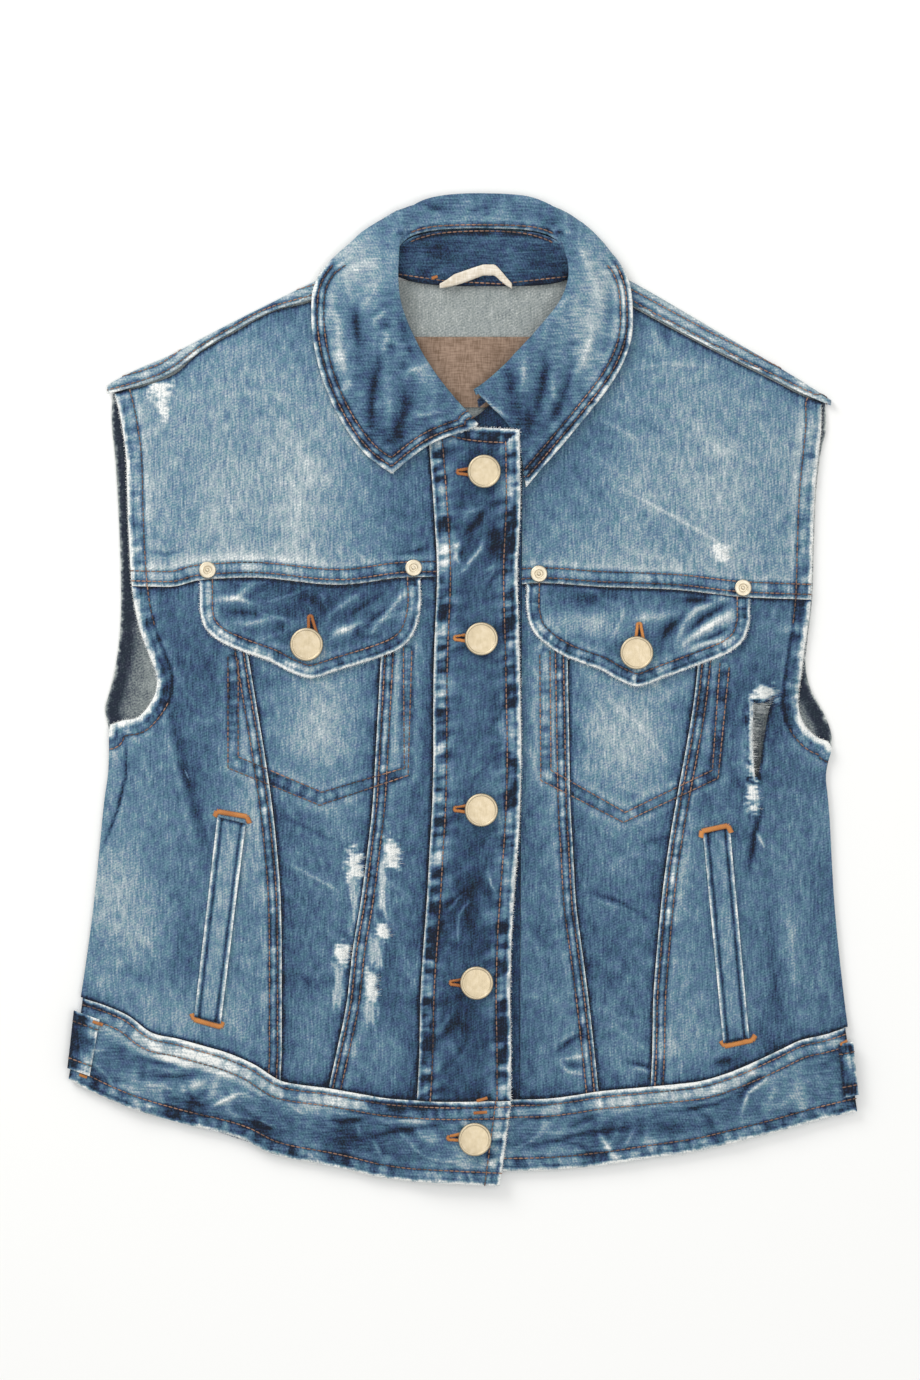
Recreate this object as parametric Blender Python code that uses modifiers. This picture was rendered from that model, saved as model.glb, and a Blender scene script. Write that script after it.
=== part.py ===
"""Sleeveless denim jacket lying flat on its back, buttoned up, with the collar open.

Every cloth piece is a wall of its own. The back lies on the ground, the fronts lie on the back with a low
crown, and bands, flaps, welts and collar lie on the fronts. Tables are in millimetres; X runs to the viewer's
right, Y towards the collar, Z up. Left and right are the viewer's, looking down at the front.
"""

import math
from bisect import bisect_right
from collections import namedtuple

import bmesh
import bpy

MM = 0.001

# Driving sizes, in millimetres
DENIM = 1.2
DOUBLED = 2.0
TAPE = 1.0
GAP = 0.3
CROWN = 3.0
CROWN_REACH = 45.0
CELL = 12.0
BAND_RAMP = 14.0
LAP_RAMP = 10.0
LAP_LIFT = 2.6
UNDER_BAND_INSET = 13.0
LAP_CORNER_LIFT = 2.8
LAP_CORNER_WEST, LAP_CORNER_RAMP_X = 12.0, 12.0
LAP_CORNER_SOUTH, LAP_CORNER_RAMP_Y = 88.0, 22.0
BAND_END_INSET = 1.5
SHOULDER_GAP = 0.9
SHOULDER_FOOT = 0.7
BACK_CELL = 20.0
RIP_CUTTER_HEIGHT = 20.0
BUTTON_RADIUS = 9.0
RIVET_RADIUS = 4.6
STAND_SHARE = 0.58
STAND_GAP = 1.1
STAND_HUMP = 2.6
COLLAR_SECTIONS = 36
LEAF_ROWS = [0, 0.16, 0.26, 0.335, 0.41, 0.5, 0.62, 0.74, 0.87, 1]
LEAF_LIES_FROM, LEAF_LIES_RAMP = 0.35, 0.2  # share of the leaf's way down at which it lies on the fronts
NECK_BACK_FROM, NECK_BACK_RAMP = 205.5, 15.0  # height at which the collar stops lying on the fronts
LEAF_LAP_WEST, LEAF_LAP_EAST, LEAF_LAP_NORTH, LEAF_LAP_RAMP = -4.0, 13.0, 152.0, 4.0
BOX_MIDDLE_X, BOX_MIDDLE_Y = 1.58, 0.45  # middle of the garment's box in the tables, put over the origin

# Seams that run down the fronts: the x of each at a height y
SeamRow = namedtuple("SeamRow", "y outer_left inner_left lap_seam lap_edge inner_right outer_right")
SEAMS = [
    SeamRow(-224, -97.5, -73, -23.5, 27.5, 75.5, 102),
    SeamRow(-194.5, -96, -66.5, -22, 27.5, 72.5, 103.5),
    SeamRow(-167.5, -96, -61, -21.5, 27, 69.5, 104),
    SeamRow(-140.5, -96, -58, -20, 27.5, 66, 106),
    SeamRow(-113.5, -96.5, -53.5, -18, 29, 62.5, 108.5),
    SeamRow(-86.5, -98.5, -50, -16.5, 31, 61, 112),
    SeamRow(-59.5, -101.5, -47, -15, 32.5, 59.5, 116.5),
    SeamRow(-32.5, -105.5, -45.5, -14.5, 33, 59, 121.5),
    SeamRow(-5.5, -110, -44, -14.5, 32.5, 58.5, 126),
    SeamRow(21.5, -114.5, -42.5, -14, 32, 58, 129),
    SeamRow(62, -120.5, -40, -12.5, 31, 57, 134),
    SeamRow(102.5, -127, -37, -14.5, 32.5, 56, 140),
    SeamRow(141.5, -133, -34, -17.5, 32, 55, 146),
]

# Outer edges of the fronts, from the waistband up the side, round the armhole and up to the shoulder
EdgeRow = namedtuple("EdgeRow", "y x")
FRONT_LEFT_EDGE = [
    EdgeRow(-221.5, -215), EdgeRow(-167.5, -205), EdgeRow(-113.5, -197.5), EdgeRow(-59.5, -192),
    EdgeRow(-38, -189.5), EdgeRow(-24.5, -189.5), EdgeRow(-19, -189), EdgeRow(-16.5, -182), EdgeRow(-13.5, -174),
    EdgeRow(-9.5, -168.5), EdgeRow(-5, -166), EdgeRow(0, -164), EdgeRow(4.5, -163.5), EdgeRow(12, -165),
    EdgeRow(22.5, -169.5), EdgeRow(35, -173.5), EdgeRow(47, -176), EdgeRow(59.5, -177.5), EdgeRow(100, -179.5),
    EdgeRow(121.5, -180), EdgeRow(143, -182.5), EdgeRow(160, -186.5),
]
FRONT_RIGHT_EDGE = [
    EdgeRow(-221.5, 215), EdgeRow(-167.5, 207.5), EdgeRow(-113.5, 202), EdgeRow(-62, 199), EdgeRow(-46, 197.5),
    EdgeRow(-38, 198.5), EdgeRow(-32, 200.5), EdgeRow(-29, 200), EdgeRow(-26.5, 194.5), EdgeRow(-23.5, 190),
    EdgeRow(-19, 186.5), EdgeRow(-13, 183.5), EdgeRow(-6.5, 182.5), EdgeRow(0.5, 183), EdgeRow(9.5, 184.5),
    EdgeRow(21.5, 186), EdgeRow(35, 188), EdgeRow(47.5, 189.5), EdgeRow(81, 190.5), EdgeRow(105.5, 191.5),
    EdgeRow(127, 193.5), EdgeRow(143, 195), EdgeRow(154.5, 195),
]
BACK_LEFT_EDGE = [
    EdgeRow(-221.5, -214), EdgeRow(-167.5, -204), EdgeRow(-113.5, -196.5), EdgeRow(-59.5, -191),
    EdgeRow(-24.5, -189), EdgeRow(-9.5, -191.5), EdgeRow(-4, -190), EdgeRow(9.5, -186.5), EdgeRow(26, -184),
    EdgeRow(42, -183), EdgeRow(59.5, -183), EdgeRow(100, -184.5), EdgeRow(124, -186), EdgeRow(146, -188),
    EdgeRow(164, -191),
]
BACK_RIGHT_EDGE = [
    EdgeRow(-221.5, 214), EdgeRow(-167.5, 206.5), EdgeRow(-113.5, 201), EdgeRow(-62, 198), EdgeRow(-46, 197.5),
    EdgeRow(-29.5, 200.5), EdgeRow(-24.5, 200.5), EdgeRow(-15, 197.5), EdgeRow(-6.5, 193), EdgeRow(2.5, 188.5),
    EdgeRow(13.5, 186.5), EdgeRow(27, 187.5), EdgeRow(48.5, 190), EdgeRow(81, 191), EdgeRow(110.5, 192.5),
    EdgeRow(129.5, 195), EdgeRow(140.5, 197.5), EdgeRow(155.5, 201.5),
]

# Seam between the under band and the right front, and the free end of the left waistband
UNDER_SEAM = [EdgeRow(-250, 32), EdgeRow(175, 33.7)]
LAP_END = [EdgeRow(-268, 21.4), EdgeRow(-221, 27.5)]

# Heights between which each armhole's lower end bends
LEFT_ARMHOLE = (-25, 24)
RIGHT_ARMHOLE = (-47, 22)

# Lines across the fronts: hem and top of the waistband, bottom of the yokes
HemRow = namedtuple("HemRow", "x hem waist")
LEFT_HEM = [
    HemRow(-211.5, -209.5, -163.5), HemRow(-194.5, -218.5, -169), HemRow(-181, -224, -173),
    HemRow(-173, -227, -182), HemRow(-151, -233.5, -188), HemRow(-119, -241.5, -197.5),
    HemRow(-108, -247.5, -203), HemRow(-94.5, -252, -211), HemRow(-70, -256.5, -214.5),
    HemRow(-32.5, -264.5, -220.5), HemRow(-5.5, -266, -221.5), HemRow(27, -267.5, -221),
]
RIGHT_HEM = [
    HemRow(-5, -259, -220.5), HemRow(27, -259.5, -220.5), HemRow(47.5, -259, -220), HemRow(75.5, -256.5, -216),
    HemRow(102.5, -252.5, -213.5), HemRow(129.5, -248.5, -210.5), HemRow(141.5, -245.5, -207),
    HemRow(156.5, -242, -201), HemRow(167.5, -239, -197), HemRow(175.5, -237, -190.5),
    HemRow(191.5, -232.5, -187), HemRow(213, -227.5, -180.5),
]
BACK_HEM = [
    HemRow(-211, -207, -162.5), HemRow(-151, -231, -187), HemRow(-94.5, -249, -209), HemRow(-32, -258, -219.5),
    HemRow(40, -257, -219.5), HemRow(102.5, -250, -212.5), HemRow(156.5, -239.5, -200), HemRow(212, -225, -180),
]
ChestRow = namedtuple("ChestRow", "x y")
LEFT_CHEST = [
    ChestRow(-178, 56), ChestRow(-156.5, 55.5), ChestRow(-140.5, 59), ChestRow(-113.5, 60.5),
    ChestRow(-65, 56.5), ChestRow(-29.5, 60.5), ChestRow(-11, 61),
]
RIGHT_CHEST = [
    ChestRow(28, 56.5), ChestRow(43, 57.5), ChestRow(75.5, 55.5), ChestRow(114.5, 54), ChestRow(152.5, 50),
    ChestRow(191.5, 48.5),
]

# Top edges of the yokes: along the shoulder seam, then down round the neck
TopRow = namedtuple("TopRow", "x y")
LEFT_TOP = [
    TopRow(-187.5, 159.5), TopRow(-167.5, 165), TopRow(-155.5, 169.5), TopRow(-140.5, 182), TopRow(-113.5, 197.5),
    TopRow(-102.5, 204), TopRow(-82, 209), TopRow(-62, 216), TopRow(-48.5, 221), TopRow(-45, 217),
    TopRow(-42, 210.5), TopRow(-36.5, 194.5), TopRow(-29.5, 177), TopRow(-21.5, 162), TopRow(-14, 151),
]
RIGHT_TOP = [
    TopRow(28, 166), TopRow(38, 176), TopRow(48.5, 188.5), TopRow(57, 199.5), TopRow(65, 209.5),
    TopRow(68.5, 215.5), TopRow(72, 217), TopRow(81, 213), TopRow(93.5, 206.5), TopRow(113.5, 195.5),
    TopRow(143, 180), TopRow(170, 166.5), TopRow(183.5, 159.5), TopRow(195.5, 154.5),
]
NECK_LEFT_X, NECK_RIGHT_X = -48.5, 72.0  # where the shoulder seams end
LEFT_NECK_COLUMNS = [0.815, 0.84, 0.865, 0.89, 0.92, 0.96]
RIGHT_NECK_COLUMNS = [0.06, 0.11, 0.16, 0.205, 0.23, 0.255]
LAP_TOP = [TopRow(-17, 150), TopRow(-5, 144.5), TopRow(10, 141.5), TopRow(33, 140)]
UNDER_TOP = [TopRow(-5, 141), TopRow(11, 149), TopRow(21.5, 159), TopRow(34, 171)]

# Where the back folds over at the shoulders, and its neck
LEFT_FOLD = [
    TopRow(-191, 164), TopRow(-178, 171.5), TopRow(-154, 181.5), TopRow(-140.5, 189), TopRow(-113.5, 203),
    TopRow(-86.5, 216.5), TopRow(-62, 228.5), TopRow(-48, 234.5),
]
RIGHT_FOLD = [
    TopRow(71, 232), TopRow(81, 226.5), TopRow(93.5, 220), TopRow(116, 207), TopRow(143, 191), TopRow(170, 175.5),
    TopRow(183.5, 167), TopRow(201.5, 155.5),
]
BACK_NECK = [TopRow(-47, 230), TopRow(-42, 224), TopRow(-34, 221.5), TopRow(11, 220), TopRow(56, 221.5),
             TopRow(64, 223.5), TopRow(70, 229)]

# Ends of the back's straight runs, in x: along the waistband, the hem and the two shoulders
BACK_WAIST_ENDS = (-203.5, 205)
BACK_HEM_ENDS = (-209, 210)
BACK_LEFT_SHOULDER = (-187, -50)
BACK_RIGHT_SHOULDER = (73, 197)

# Largest folds: a ridge from one end to the other, fading out at both
FoldRow = namedtuple("FoldRow", "x0 y0 x1 y1 width height")
FOLDS = [
    FoldRow(-166, 3, -138, -100, 8, 3.4),
    FoldRow(172, 12, 154, -104, 7, 2.2),
    FoldRow(-177, -150, -170, -238, 6, 2.4),
    FoldRow(-116, -180, -106, -256, 7, 2.0),
    FoldRow(146, -180, 152, -252, 8, 2.4),
    FoldRow(174, -170, 178, -246, 6, 2.0),
    FoldRow(-164, 100, -150, 66, 10, 1.6),
]

# Chest pocket flaps: the lower edge from one side seam of the flap to the other
FlapRow = namedtuple("FlapRow", "x y")
LEFT_FLAP = [
    FlapRow(-140, 44), FlapRow(-138, 35), FlapRow(-132, 28), FlapRow(-119, 21.5), FlapRow(-102.5, 15.5),
    FlapRow(-81, 6.5), FlapRow(-65, 11), FlapRow(-48.5, 16), FlapRow(-32.5, 22.5), FlapRow(-26, 29),
    FlapRow(-21.5, 44),
]
RIGHT_FLAP = [
    FlapRow(36, 43), FlapRow(39, 32.5), FlapRow(46.5, 24.5), FlapRow(57, 18), FlapRow(75.5, 11), FlapRow(95.5, 2),
    FlapRow(110.5, 7), FlapRow(129.5, 14), FlapRow(146, 21), FlapRow(152.5, 27), FlapRow(156, 38),
]

# Hand pocket welts and side tabs: two long edges between a lower and an upper end
StripRow = namedtuple("StripRow", "y left right")
LEFT_WELT = [StripRow(-178, -143.5, -128.5), StripRow(-70, -131, -115)]
RIGHT_WELT = [StripRow(-189, 141.5, 156), StripRow(-75, 130.5, 145.5)]
LEFT_TAB = [StripRow(-206, -212, -199), StripRow(-175, -208.5, -193.5)]
RIGHT_TAB = [StripRow(-219, 206.5, 215), StripRow(-190, 203.5, 212)]
STRIP_SLANT = {"welt_left": -0.25, "welt_right": 0.2, "hem_tab_left": -0.35, "hem_tab_right": 0.2}

# Cut through the right side panel: its two edges
RIP = [StripRow(-47, 158.5, 160.5), StripRow(-40, 158, 162), StripRow(-28, 157.5, 163.5),
       StripRow(-19, 157.5, 165), StripRow(-7, 158, 167.5)]

# Collar, round the neck from the left front to the right front. Each section runs from the neck seam (foot) over
# the roll to the free edge; the middle of the leaf bows sideways by bow.
CollarRow = namedtuple("CollarRow", "foot_x foot_y roll_x roll_y roll_z mid_z edge_x edge_y edge_z bow")
COLLAR = [
    CollarRow(-1, 147, 8.5, 141.5, 10.4, 8.8, -36.5, 116.5, 7.0, 4),
    CollarRow(-11.5, 153.5, -4.5, 155.5, 11.6, 9.6, -51, 126.5, 7.0, 2),
    CollarRow(-27, 178, -19, 174, 12.0, 9.4, -67, 150, 7.0, 0),
    CollarRow(-34, 195.5, -28, 191.5, 12.0, 9.2, -76.5, 175, 7.0, 0),
    CollarRow(-40, 211, -34, 208, 11.8, 9.0, -80, 197, 6.6, 0),
    CollarRow(-41.5, 221, -35.5, 224, 11.4, 8.8, -79.5, 214, 5.6, 2),
    CollarRow(-36, 225, -34, 243, 10.0, 8.0, -71, 229.5, 4.4, 6),
    CollarRow(-26, 221.8, -28, 258, 7.4, 4.0, -48, 238, 1.8, 6),
    CollarRow(-11, 220.8, -12, 265.5, 5.2, 1.4, -18, 234, 1.3, 0),
    CollarRow(11, 220.5, 11, 267, 4.6, 1.3, 11, 233, 1.3, 0),
    CollarRow(35, 220.8, 36, 265.5, 5.2, 1.4, 42, 234, 1.3, 0),
    CollarRow(50, 221.8, 50.5, 257.5, 7.4, 4.0, 70, 238, 1.8, -6),
    CollarRow(60, 224.5, 56, 243, 10.0, 8.0, 86, 229.5, 4.4, -6),
    CollarRow(65.5, 219, 60.5, 225, 11.4, 8.8, 92.5, 213, 5.6, -2),
    CollarRow(62, 210, 56, 209, 11.8, 9.0, 93, 193, 6.6, 0),
    CollarRow(53, 199.5, 45.5, 195, 12.0, 9.2, 86, 172, 7.0, 0),
    CollarRow(36, 178.5, 29.5, 177.5, 11.6, 9.2, 70, 150, 7.0, 0),
    CollarRow(20.5, 161.5, 17, 165.5, 10.4, 8.6, 50, 126, 7.4, -4),
    CollarRow(10, 152.5, 9, 160, 9.6, 8.2, 35.5, 109, 7.6, -8),
]

# Neck label, hanger tape, buttons and rivets
LABEL = {"west": -32.5, "east": 46.0, "south": 152.5, "north": 190.5}
HANGER = {"west": -11.0, "east": 28.0, "foot_y": 219.5, "rise": 5.5, "width": 4.5, "foot_z": 4.0, "slope": 0.17}
SpotRow = namedtuple("SpotRow", "name x y")
BUTTONS = [
    SpotRow("button_1", 13, 117.5), SpotRow("button_2", 11.5, 27.5), SpotRow("button_3", 11.5, -64.5),
    SpotRow("button_4", 9, -157.5), SpotRow("button_5", 8, -241.5),
    SpotRow("flap_button_left", -82.5, 24.5), SpotRow("flap_button_right", 95, 20),
]
RIVETS = [SpotRow("rivet_1", -136, 64.6), SpotRow("rivet_2", -25, 65.8), SpotRow("rivet_3", 42.5, 62.6),
          SpotRow("rivet_4", 152.5, 55)]

# Turned profiles, from the top of the axis down the outside to the bottom of the axis
ProfileRow = namedtuple("ProfileRow", "radius height")
BUTTON_PROFILE = [
    ProfileRow(0, 3.1), ProfileRow(0.66 * BUTTON_RADIUS, 3.0), ProfileRow(0.74 * BUTTON_RADIUS, 3.6),
    ProfileRow(0.88 * BUTTON_RADIUS, 3.8), ProfileRow(BUTTON_RADIUS, 2.9), ProfileRow(0.92 * BUTTON_RADIUS, 1.7),
    ProfileRow(0.5 * BUTTON_RADIUS, 1.3), ProfileRow(0.45 * BUTTON_RADIUS, 0), ProfileRow(0, 0),
]
RIVET_PROFILE = [
    ProfileRow(0, 1.5), ProfileRow(0.28 * RIVET_RADIUS, 1.4), ProfileRow(0.36 * RIVET_RADIUS, 0.8),
    ProfileRow(0.8 * RIVET_RADIUS, 1.1), ProfileRow(RIVET_RADIUS, 0.6), ProfileRow(0.96 * RIVET_RADIUS, 0),
    ProfileRow(0, 0),
]
BUTTON_SIDES = 16
RIVET_SIDES = 12
SETTLE_ROUNDS = 40
CROWDED = 0.4  # share of a grid's own spacing under which an even column or row gives way to an extra one
CLOSE_SHARE = 0.004

# Finishes: linear base colour, roughness, metallic
FINISHES = {
    "faded denim": ((0.16, 0.26, 0.36), 0.9, 0.0),
    "washed denim": ((0.07, 0.14, 0.24), 0.9, 0.0),
    "dark denim": ((0.03, 0.07, 0.14), 0.9, 0.0),
    "denim wrong side": ((0.31, 0.35, 0.33), 0.95, 0.0),
    "brown label cloth": ((0.26, 0.17, 0.12), 0.85, 0.0),
    "cotton tape": ((0.78, 0.71, 0.60), 0.9, 0.0),
    "pale brass": ((0.62, 0.47, 0.26), 0.35, 1.0),
}


def line(rows):
    """Smooth line through (at, value) rows, with no overshoot between them and straight beyond both ends."""
    ats, values = zip(*sorted(rows))
    steps = [after - before for before, after in zip(ats, ats[1:])]
    slopes = [(after - before) / step for before, after, step in zip(values, values[1:], steps)]
    bends = [slopes[0]]
    for before, after in zip(slopes, slopes[1:]):
        bends.append(2 * before * after / (before + after) if before * after > 0 else 0.0)
    bends.append(slopes[-1])

    def value(at):
        if at <= ats[0]:
            return values[0] + bends[0] * (at - ats[0])
        if at >= ats[-1]:
            return values[-1] + bends[-1] * (at - ats[-1])
        k = bisect_right(ats, at) - 1
        t = (at - ats[k]) / steps[k]
        rise = values[k + 1] - values[k]
        start, end = bends[k] * steps[k] - rise, bends[k + 1] * steps[k] - rise
        return values[k] + rise * t + t * (1 - t) * (start * (1 - t) - end * t)

    return value


def column(rows, name, at="x"):
    return line([(getattr(row, at), getattr(row, name)) for row in rows])


def moved(edge, shift):
    return lambda at: edge(at) + shift


def smooth(share):
    share = min(max(share, 0.0), 1.0)
    return share * share * (3 - 2 * share)


def steps(low, high, spacing):
    count = max(1, math.ceil((high - low) / spacing))
    return [low + (high - low) * k / count for k in range(count + 1)]


# Named seam lines
outer_left, inner_left, lap_seam, lap_edge, inner_right, outer_right = (
    column(SEAMS, name, "y") for name in SeamRow._fields[1:])
front_left, front_right, back_left, back_right = (
    column(rows, "x", "y") for rows in (FRONT_LEFT_EDGE, FRONT_RIGHT_EDGE, BACK_LEFT_EDGE, BACK_RIGHT_EDGE))
left_hem, right_hem, back_hem = (column(rows, "hem") for rows in (LEFT_HEM, RIGHT_HEM, BACK_HEM))
left_waist, right_waist, back_waist = (column(rows, "waist") for rows in (LEFT_HEM, RIGHT_HEM, BACK_HEM))
left_chest, right_chest = column(LEFT_CHEST, "y"), column(RIGHT_CHEST, "y")
left_top, right_top = column(LEFT_TOP, "y"), column(RIGHT_TOP, "y")
lap_top, under_top = column(LAP_TOP, "y"), column(UNDER_TOP, "y")
left_fold, right_fold, back_neck = column(LEFT_FOLD, "y"), column(RIGHT_FOLD, "y"), column(BACK_NECK, "y")
under_seam, lap_end = column(UNDER_SEAM, "x", "y"), column(LAP_END, "x", "y")


def under_edge(y):
    return lap_seam(y) + UNDER_BAND_INSET


def outline_runs():
    """The free edges of the fronts: hem, sides, armholes and shoulder seams, each as a run of points."""
    yield [(front_left(y), y) for y in steps(LEFT_HEM[0].hem, LEFT_TOP[0].y, CELL)]
    yield [(front_right(y), y) for y in steps(RIGHT_HEM[-1].hem, RIGHT_TOP[-1].y, CELL)]
    yield [(x, left_hem(x)) for x in steps(LEFT_HEM[0].x, LEFT_HEM[-1].x, CELL)]
    yield [(x, right_hem(x)) for x in steps(LEFT_HEM[-1].x, RIGHT_HEM[-1].x, CELL)]
    yield [(x, left_top(x)) for x in steps(LEFT_TOP[0].x, NECK_LEFT_X, CELL)]
    yield [(x, right_top(x)) for x in steps(NECK_RIGHT_X, RIGHT_TOP[-1].x, CELL)]


OUTLINE = [(a, b) for run in outline_runs() for a, b in zip(run, run[1:])]


def along(x, y, x0, y0, x1, y1):
    """How far along a stretch the nearest place lies, from 0 to 1, and the distance to it."""
    dx, dy = x1 - x0, y1 - y0
    share = min(max(((x - x0) * dx + (y - y0) * dy) / (dx * dx + dy * dy), 0.0), 1.0)
    return share, math.hypot(x - x0 - share * dx, y - y0 - share * dy)


def front_under(x, y):
    """Height of the underside of the fronts: on the back, crowned away from the outline, with the folds."""
    inside = min(along(x, y, *a, *b)[1] for a, b in OUTLINE)
    share = min(inside / CROWN_REACH, 1.0)
    height = DENIM + GAP + CROWN * share * (2 - share)
    waist = left_waist(x) if x < lap_edge(y) else right_waist(x)
    height += (DOUBLED - DENIM) * smooth((waist + BAND_RAMP - y) / BAND_RAMP)
    for fold in FOLDS:
        share, away = along(x, y, fold.x0, fold.y0, fold.x1, fold.y1)
        height += fold.height * math.sin(math.pi * share) * math.exp(-(away / fold.width) ** 2)
    return height


def lap_under(x, y):
    """Underside of what laps over: from the front's own level at its seam up over the under band."""
    lift = LAP_LIFT * smooth((x - lap_seam(y)) / LAP_RAMP)
    corner = smooth((x - LAP_CORNER_WEST) / LAP_CORNER_RAMP_X)
    corner *= smooth((y - LAP_CORNER_SOUTH) / LAP_CORNER_RAMP_Y)
    return front_under(x, y) + lift + LAP_CORNER_LIFT * corner


def on_front(x, y):
    """Underside of what lies on a single layer of the fronts."""
    return front_under(x, y) + DENIM + GAP


def on_band(x, y):
    return front_under(x, y) + DOUBLED + GAP


def leaf_floor(x, y):
    """Lowest place of the collar leaf's middle above the fronts and bands."""
    over_lap = smooth((x - lap_seam(y) - LEAF_LAP_WEST) / LAP_RAMP)
    over_lap *= smooth((LEAF_LAP_EAST - x) / LEAF_LAP_RAMP)
    clear = DOUBLED + GAP + (LAP_LIFT * over_lap if y < LEAF_LAP_NORTH else 0.0)
    return front_under(x, y) + clear + GAP + DOUBLED / 2


def material(finish):
    made = bpy.data.materials.get(finish)
    if made is None:
        colour, roughness, metallic = FINISHES[finish]
        made = bpy.data.materials.new(finish)
        made.use_nodes = True
        shader = made.node_tree.nodes["Principled BSDF"]
        shader.inputs["Base Color"].default_value = (*colour, 1.0)
        shader.inputs["Roughness"].default_value = roughness
        shader.inputs["Metallic"].default_value = metallic
    return made


def add_object(name, data, finish, collection):
    obj = bpy.data.objects.new(name, data)
    obj.data.materials.append(material(finish))
    collection.objects.link(obj)
    return obj


def add_mesh(name, bm, finish, collection, scale=MM):
    bmesh.ops.scale(bm, vec=(scale,) * 3, verts=bm.verts)
    mesh = bpy.data.meshes.new(name)
    bm.to_mesh(mesh)
    bm.free()
    return add_object(name, mesh, finish, collection)


def grid(place, columns, rows):
    """A grid of faces with each corner put where place(column share, row share) says."""
    bm = bmesh.new()
    bmesh.ops.create_grid(bm, x_segments=len(columns) - 1, y_segments=len(rows) - 1, size=0.5)
    for vert in bm.verts:
        u = columns[round((vert.co.x + 0.5) * (len(columns) - 1))]
        v = rows[round((vert.co.y + 0.5) * (len(rows) - 1))]
        vert.co = place(u, v)
    return bm


def raise_wall(bm, thickness):
    """Gives an upward-facing sheet its thickness, straight up, so that neighbours stay apart at their seams."""
    lower = list(bm.faces)
    raised = bmesh.ops.extrude_face_region(bm, geom=lower, use_keep_orig=True)
    tops = [item for item in raised["geom"] if isinstance(item, bmesh.types.BMVert)]
    bmesh.ops.translate(bm, vec=(0, 0, thickness), verts=tops)
    bmesh.ops.recalc_face_normals(bm, faces=bm.faces)


def settle(u, v, west, east, south, north):
    """The place at shares u and v between four seam lines, half a seam gap inside each."""
    middle = 0.5 * (west(0) + east(0))
    y = 0.5 * (south(middle) + north(middle))
    for _ in range(SETTLE_ROUNDS):
        x = west(y) + GAP / 2 + u * (east(y) - west(y) - GAP)
        y = south(x) + GAP / 2 + v * (north(x) - south(x) - GAP)
    return x, y


def panel(name, west, east, south, north, columns, rows, under, thickness, finish, collection):
    """A cloth panel between four seam lines, its underside at under(x, y)."""
    def place(u, v):
        x, y = settle(u, v, west, east, south, north)
        return x, y, under(x, y)

    bm = grid(place, columns, rows)
    raise_wall(bm, thickness)
    return add_mesh(name, bm, finish, collection)


def shares(count, extra=()):
    """Even shares from 0 to 1, with a few more where an edge bends sharply and none of them crowded."""
    kept = sorted(set(extra))
    for k in range(count + 1):
        share = k / count
        if k in (0, count) or all(abs(share - other) > CROWDED / count for other in extra):
            kept.append(share)
    return sorted(set(kept))


def level_shares(edge_rows, armhole, bottom, top):
    """Row shares at the heights where an outer edge has its own rows, round an armhole's lower end."""
    low, high = armhole
    return [(row.y - bottom) / (top - bottom) for row in edge_rows if low <= row.y <= high]


FrontRow = namedtuple("FrontRow", "name west east columns rows finish")
TALL_ROWS = shares(22)
LEFT_FRONT = [
    FrontRow("front_side_left", front_left, outer_left, shares(8),
             shares(20, level_shares(FRONT_LEFT_EDGE, LEFT_ARMHOLE, LEFT_HEM[0].waist, LEFT_CHEST[0].y)),
             "washed denim"),
    FrontRow("front_mid_left", outer_left, inner_left, shares(5), TALL_ROWS, "faded denim"),
    FrontRow("front_center_left", inner_left, lap_seam, shares(3), TALL_ROWS, "washed denim"),
]
RIGHT_FRONT = [
    FrontRow("front_center_right", under_seam, inner_right, shares(3), TALL_ROWS, "washed denim"),
    FrontRow("front_mid_right", inner_right, outer_right, shares(5), TALL_ROWS, "faded denim"),
    FrontRow("front_side_right", outer_right, front_right, shares(8),
             shares(18, level_shares(FRONT_RIGHT_EDGE, RIGHT_ARMHOLE, RIGHT_HEM[-1].waist, RIGHT_CHEST[-1].y)),
             "washed denim"),
]
LAP_BAND = FrontRow("placket_over", lap_seam, lap_edge, shares(5), shares(30), "dark denim")
UNDER_BAND = FrontRow("placket_under", under_edge, under_seam, shares(3), shares(22), "dark denim")


def matched_columns(rows, south, north, west, east):
    """Column shares of a band that put its upper corners opposite the lower corners of the pieces above it."""
    found = {0.0, 1.0}
    for row in rows:
        for u in row.columns:
            x, y = settle(u, 0.0, row.west, row.east, south, north)
            share = (x - west(y)) / (east(y) - west(y))
            if 0 < share < 1 and all(abs(share - other) > CLOSE_SHARE for other in found):
                found.add(share)
    return sorted(found)


def fronts(collection):
    for rows, waist, chest in ((LEFT_FRONT, left_waist, left_chest), (RIGHT_FRONT, right_waist, right_chest)):
        for row in rows:
            made = panel(row.name, row.west, row.east, waist, chest, row.columns, row.rows, front_under, DENIM,
                         row.finish, collection)
            if row.name == "front_side_right":
                cut_rip(made)
    panel("front_yoke_left", front_left, lap_seam, left_chest, left_top, shares(14, LEFT_NECK_COLUMNS),
          shares(9), front_under, DENIM, "faded denim", collection)
    panel("front_yoke_right", under_seam, front_right, right_chest, right_top, shares(14, RIGHT_NECK_COLUMNS),
          shares(9), front_under, DENIM, "faded denim", collection)


def cut_rip(side):
    """Cuts the open rip through a panel with a tall block between the rip's two edges."""
    cutters = bpy.data.collections.new("cutters")
    bpy.context.scene.collection.children.link(cutters)
    low, high = RIP[0].y, RIP[-1].y
    block = panel("rip_cutter", column(RIP, "left", "y"), column(RIP, "right", "y"), lambda x: low,
                  lambda x: high, shares(1), shares(4), lambda x, y: 0.0, RIP_CUTTER_HEIGHT, "washed denim",
                  cutters)
    block.hide_render = True
    block.display_type = "WIRE"
    cut = side.modifiers.new("rip", "BOOLEAN")
    cut.operation = "DIFFERENCE"
    cut.object = block


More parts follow.
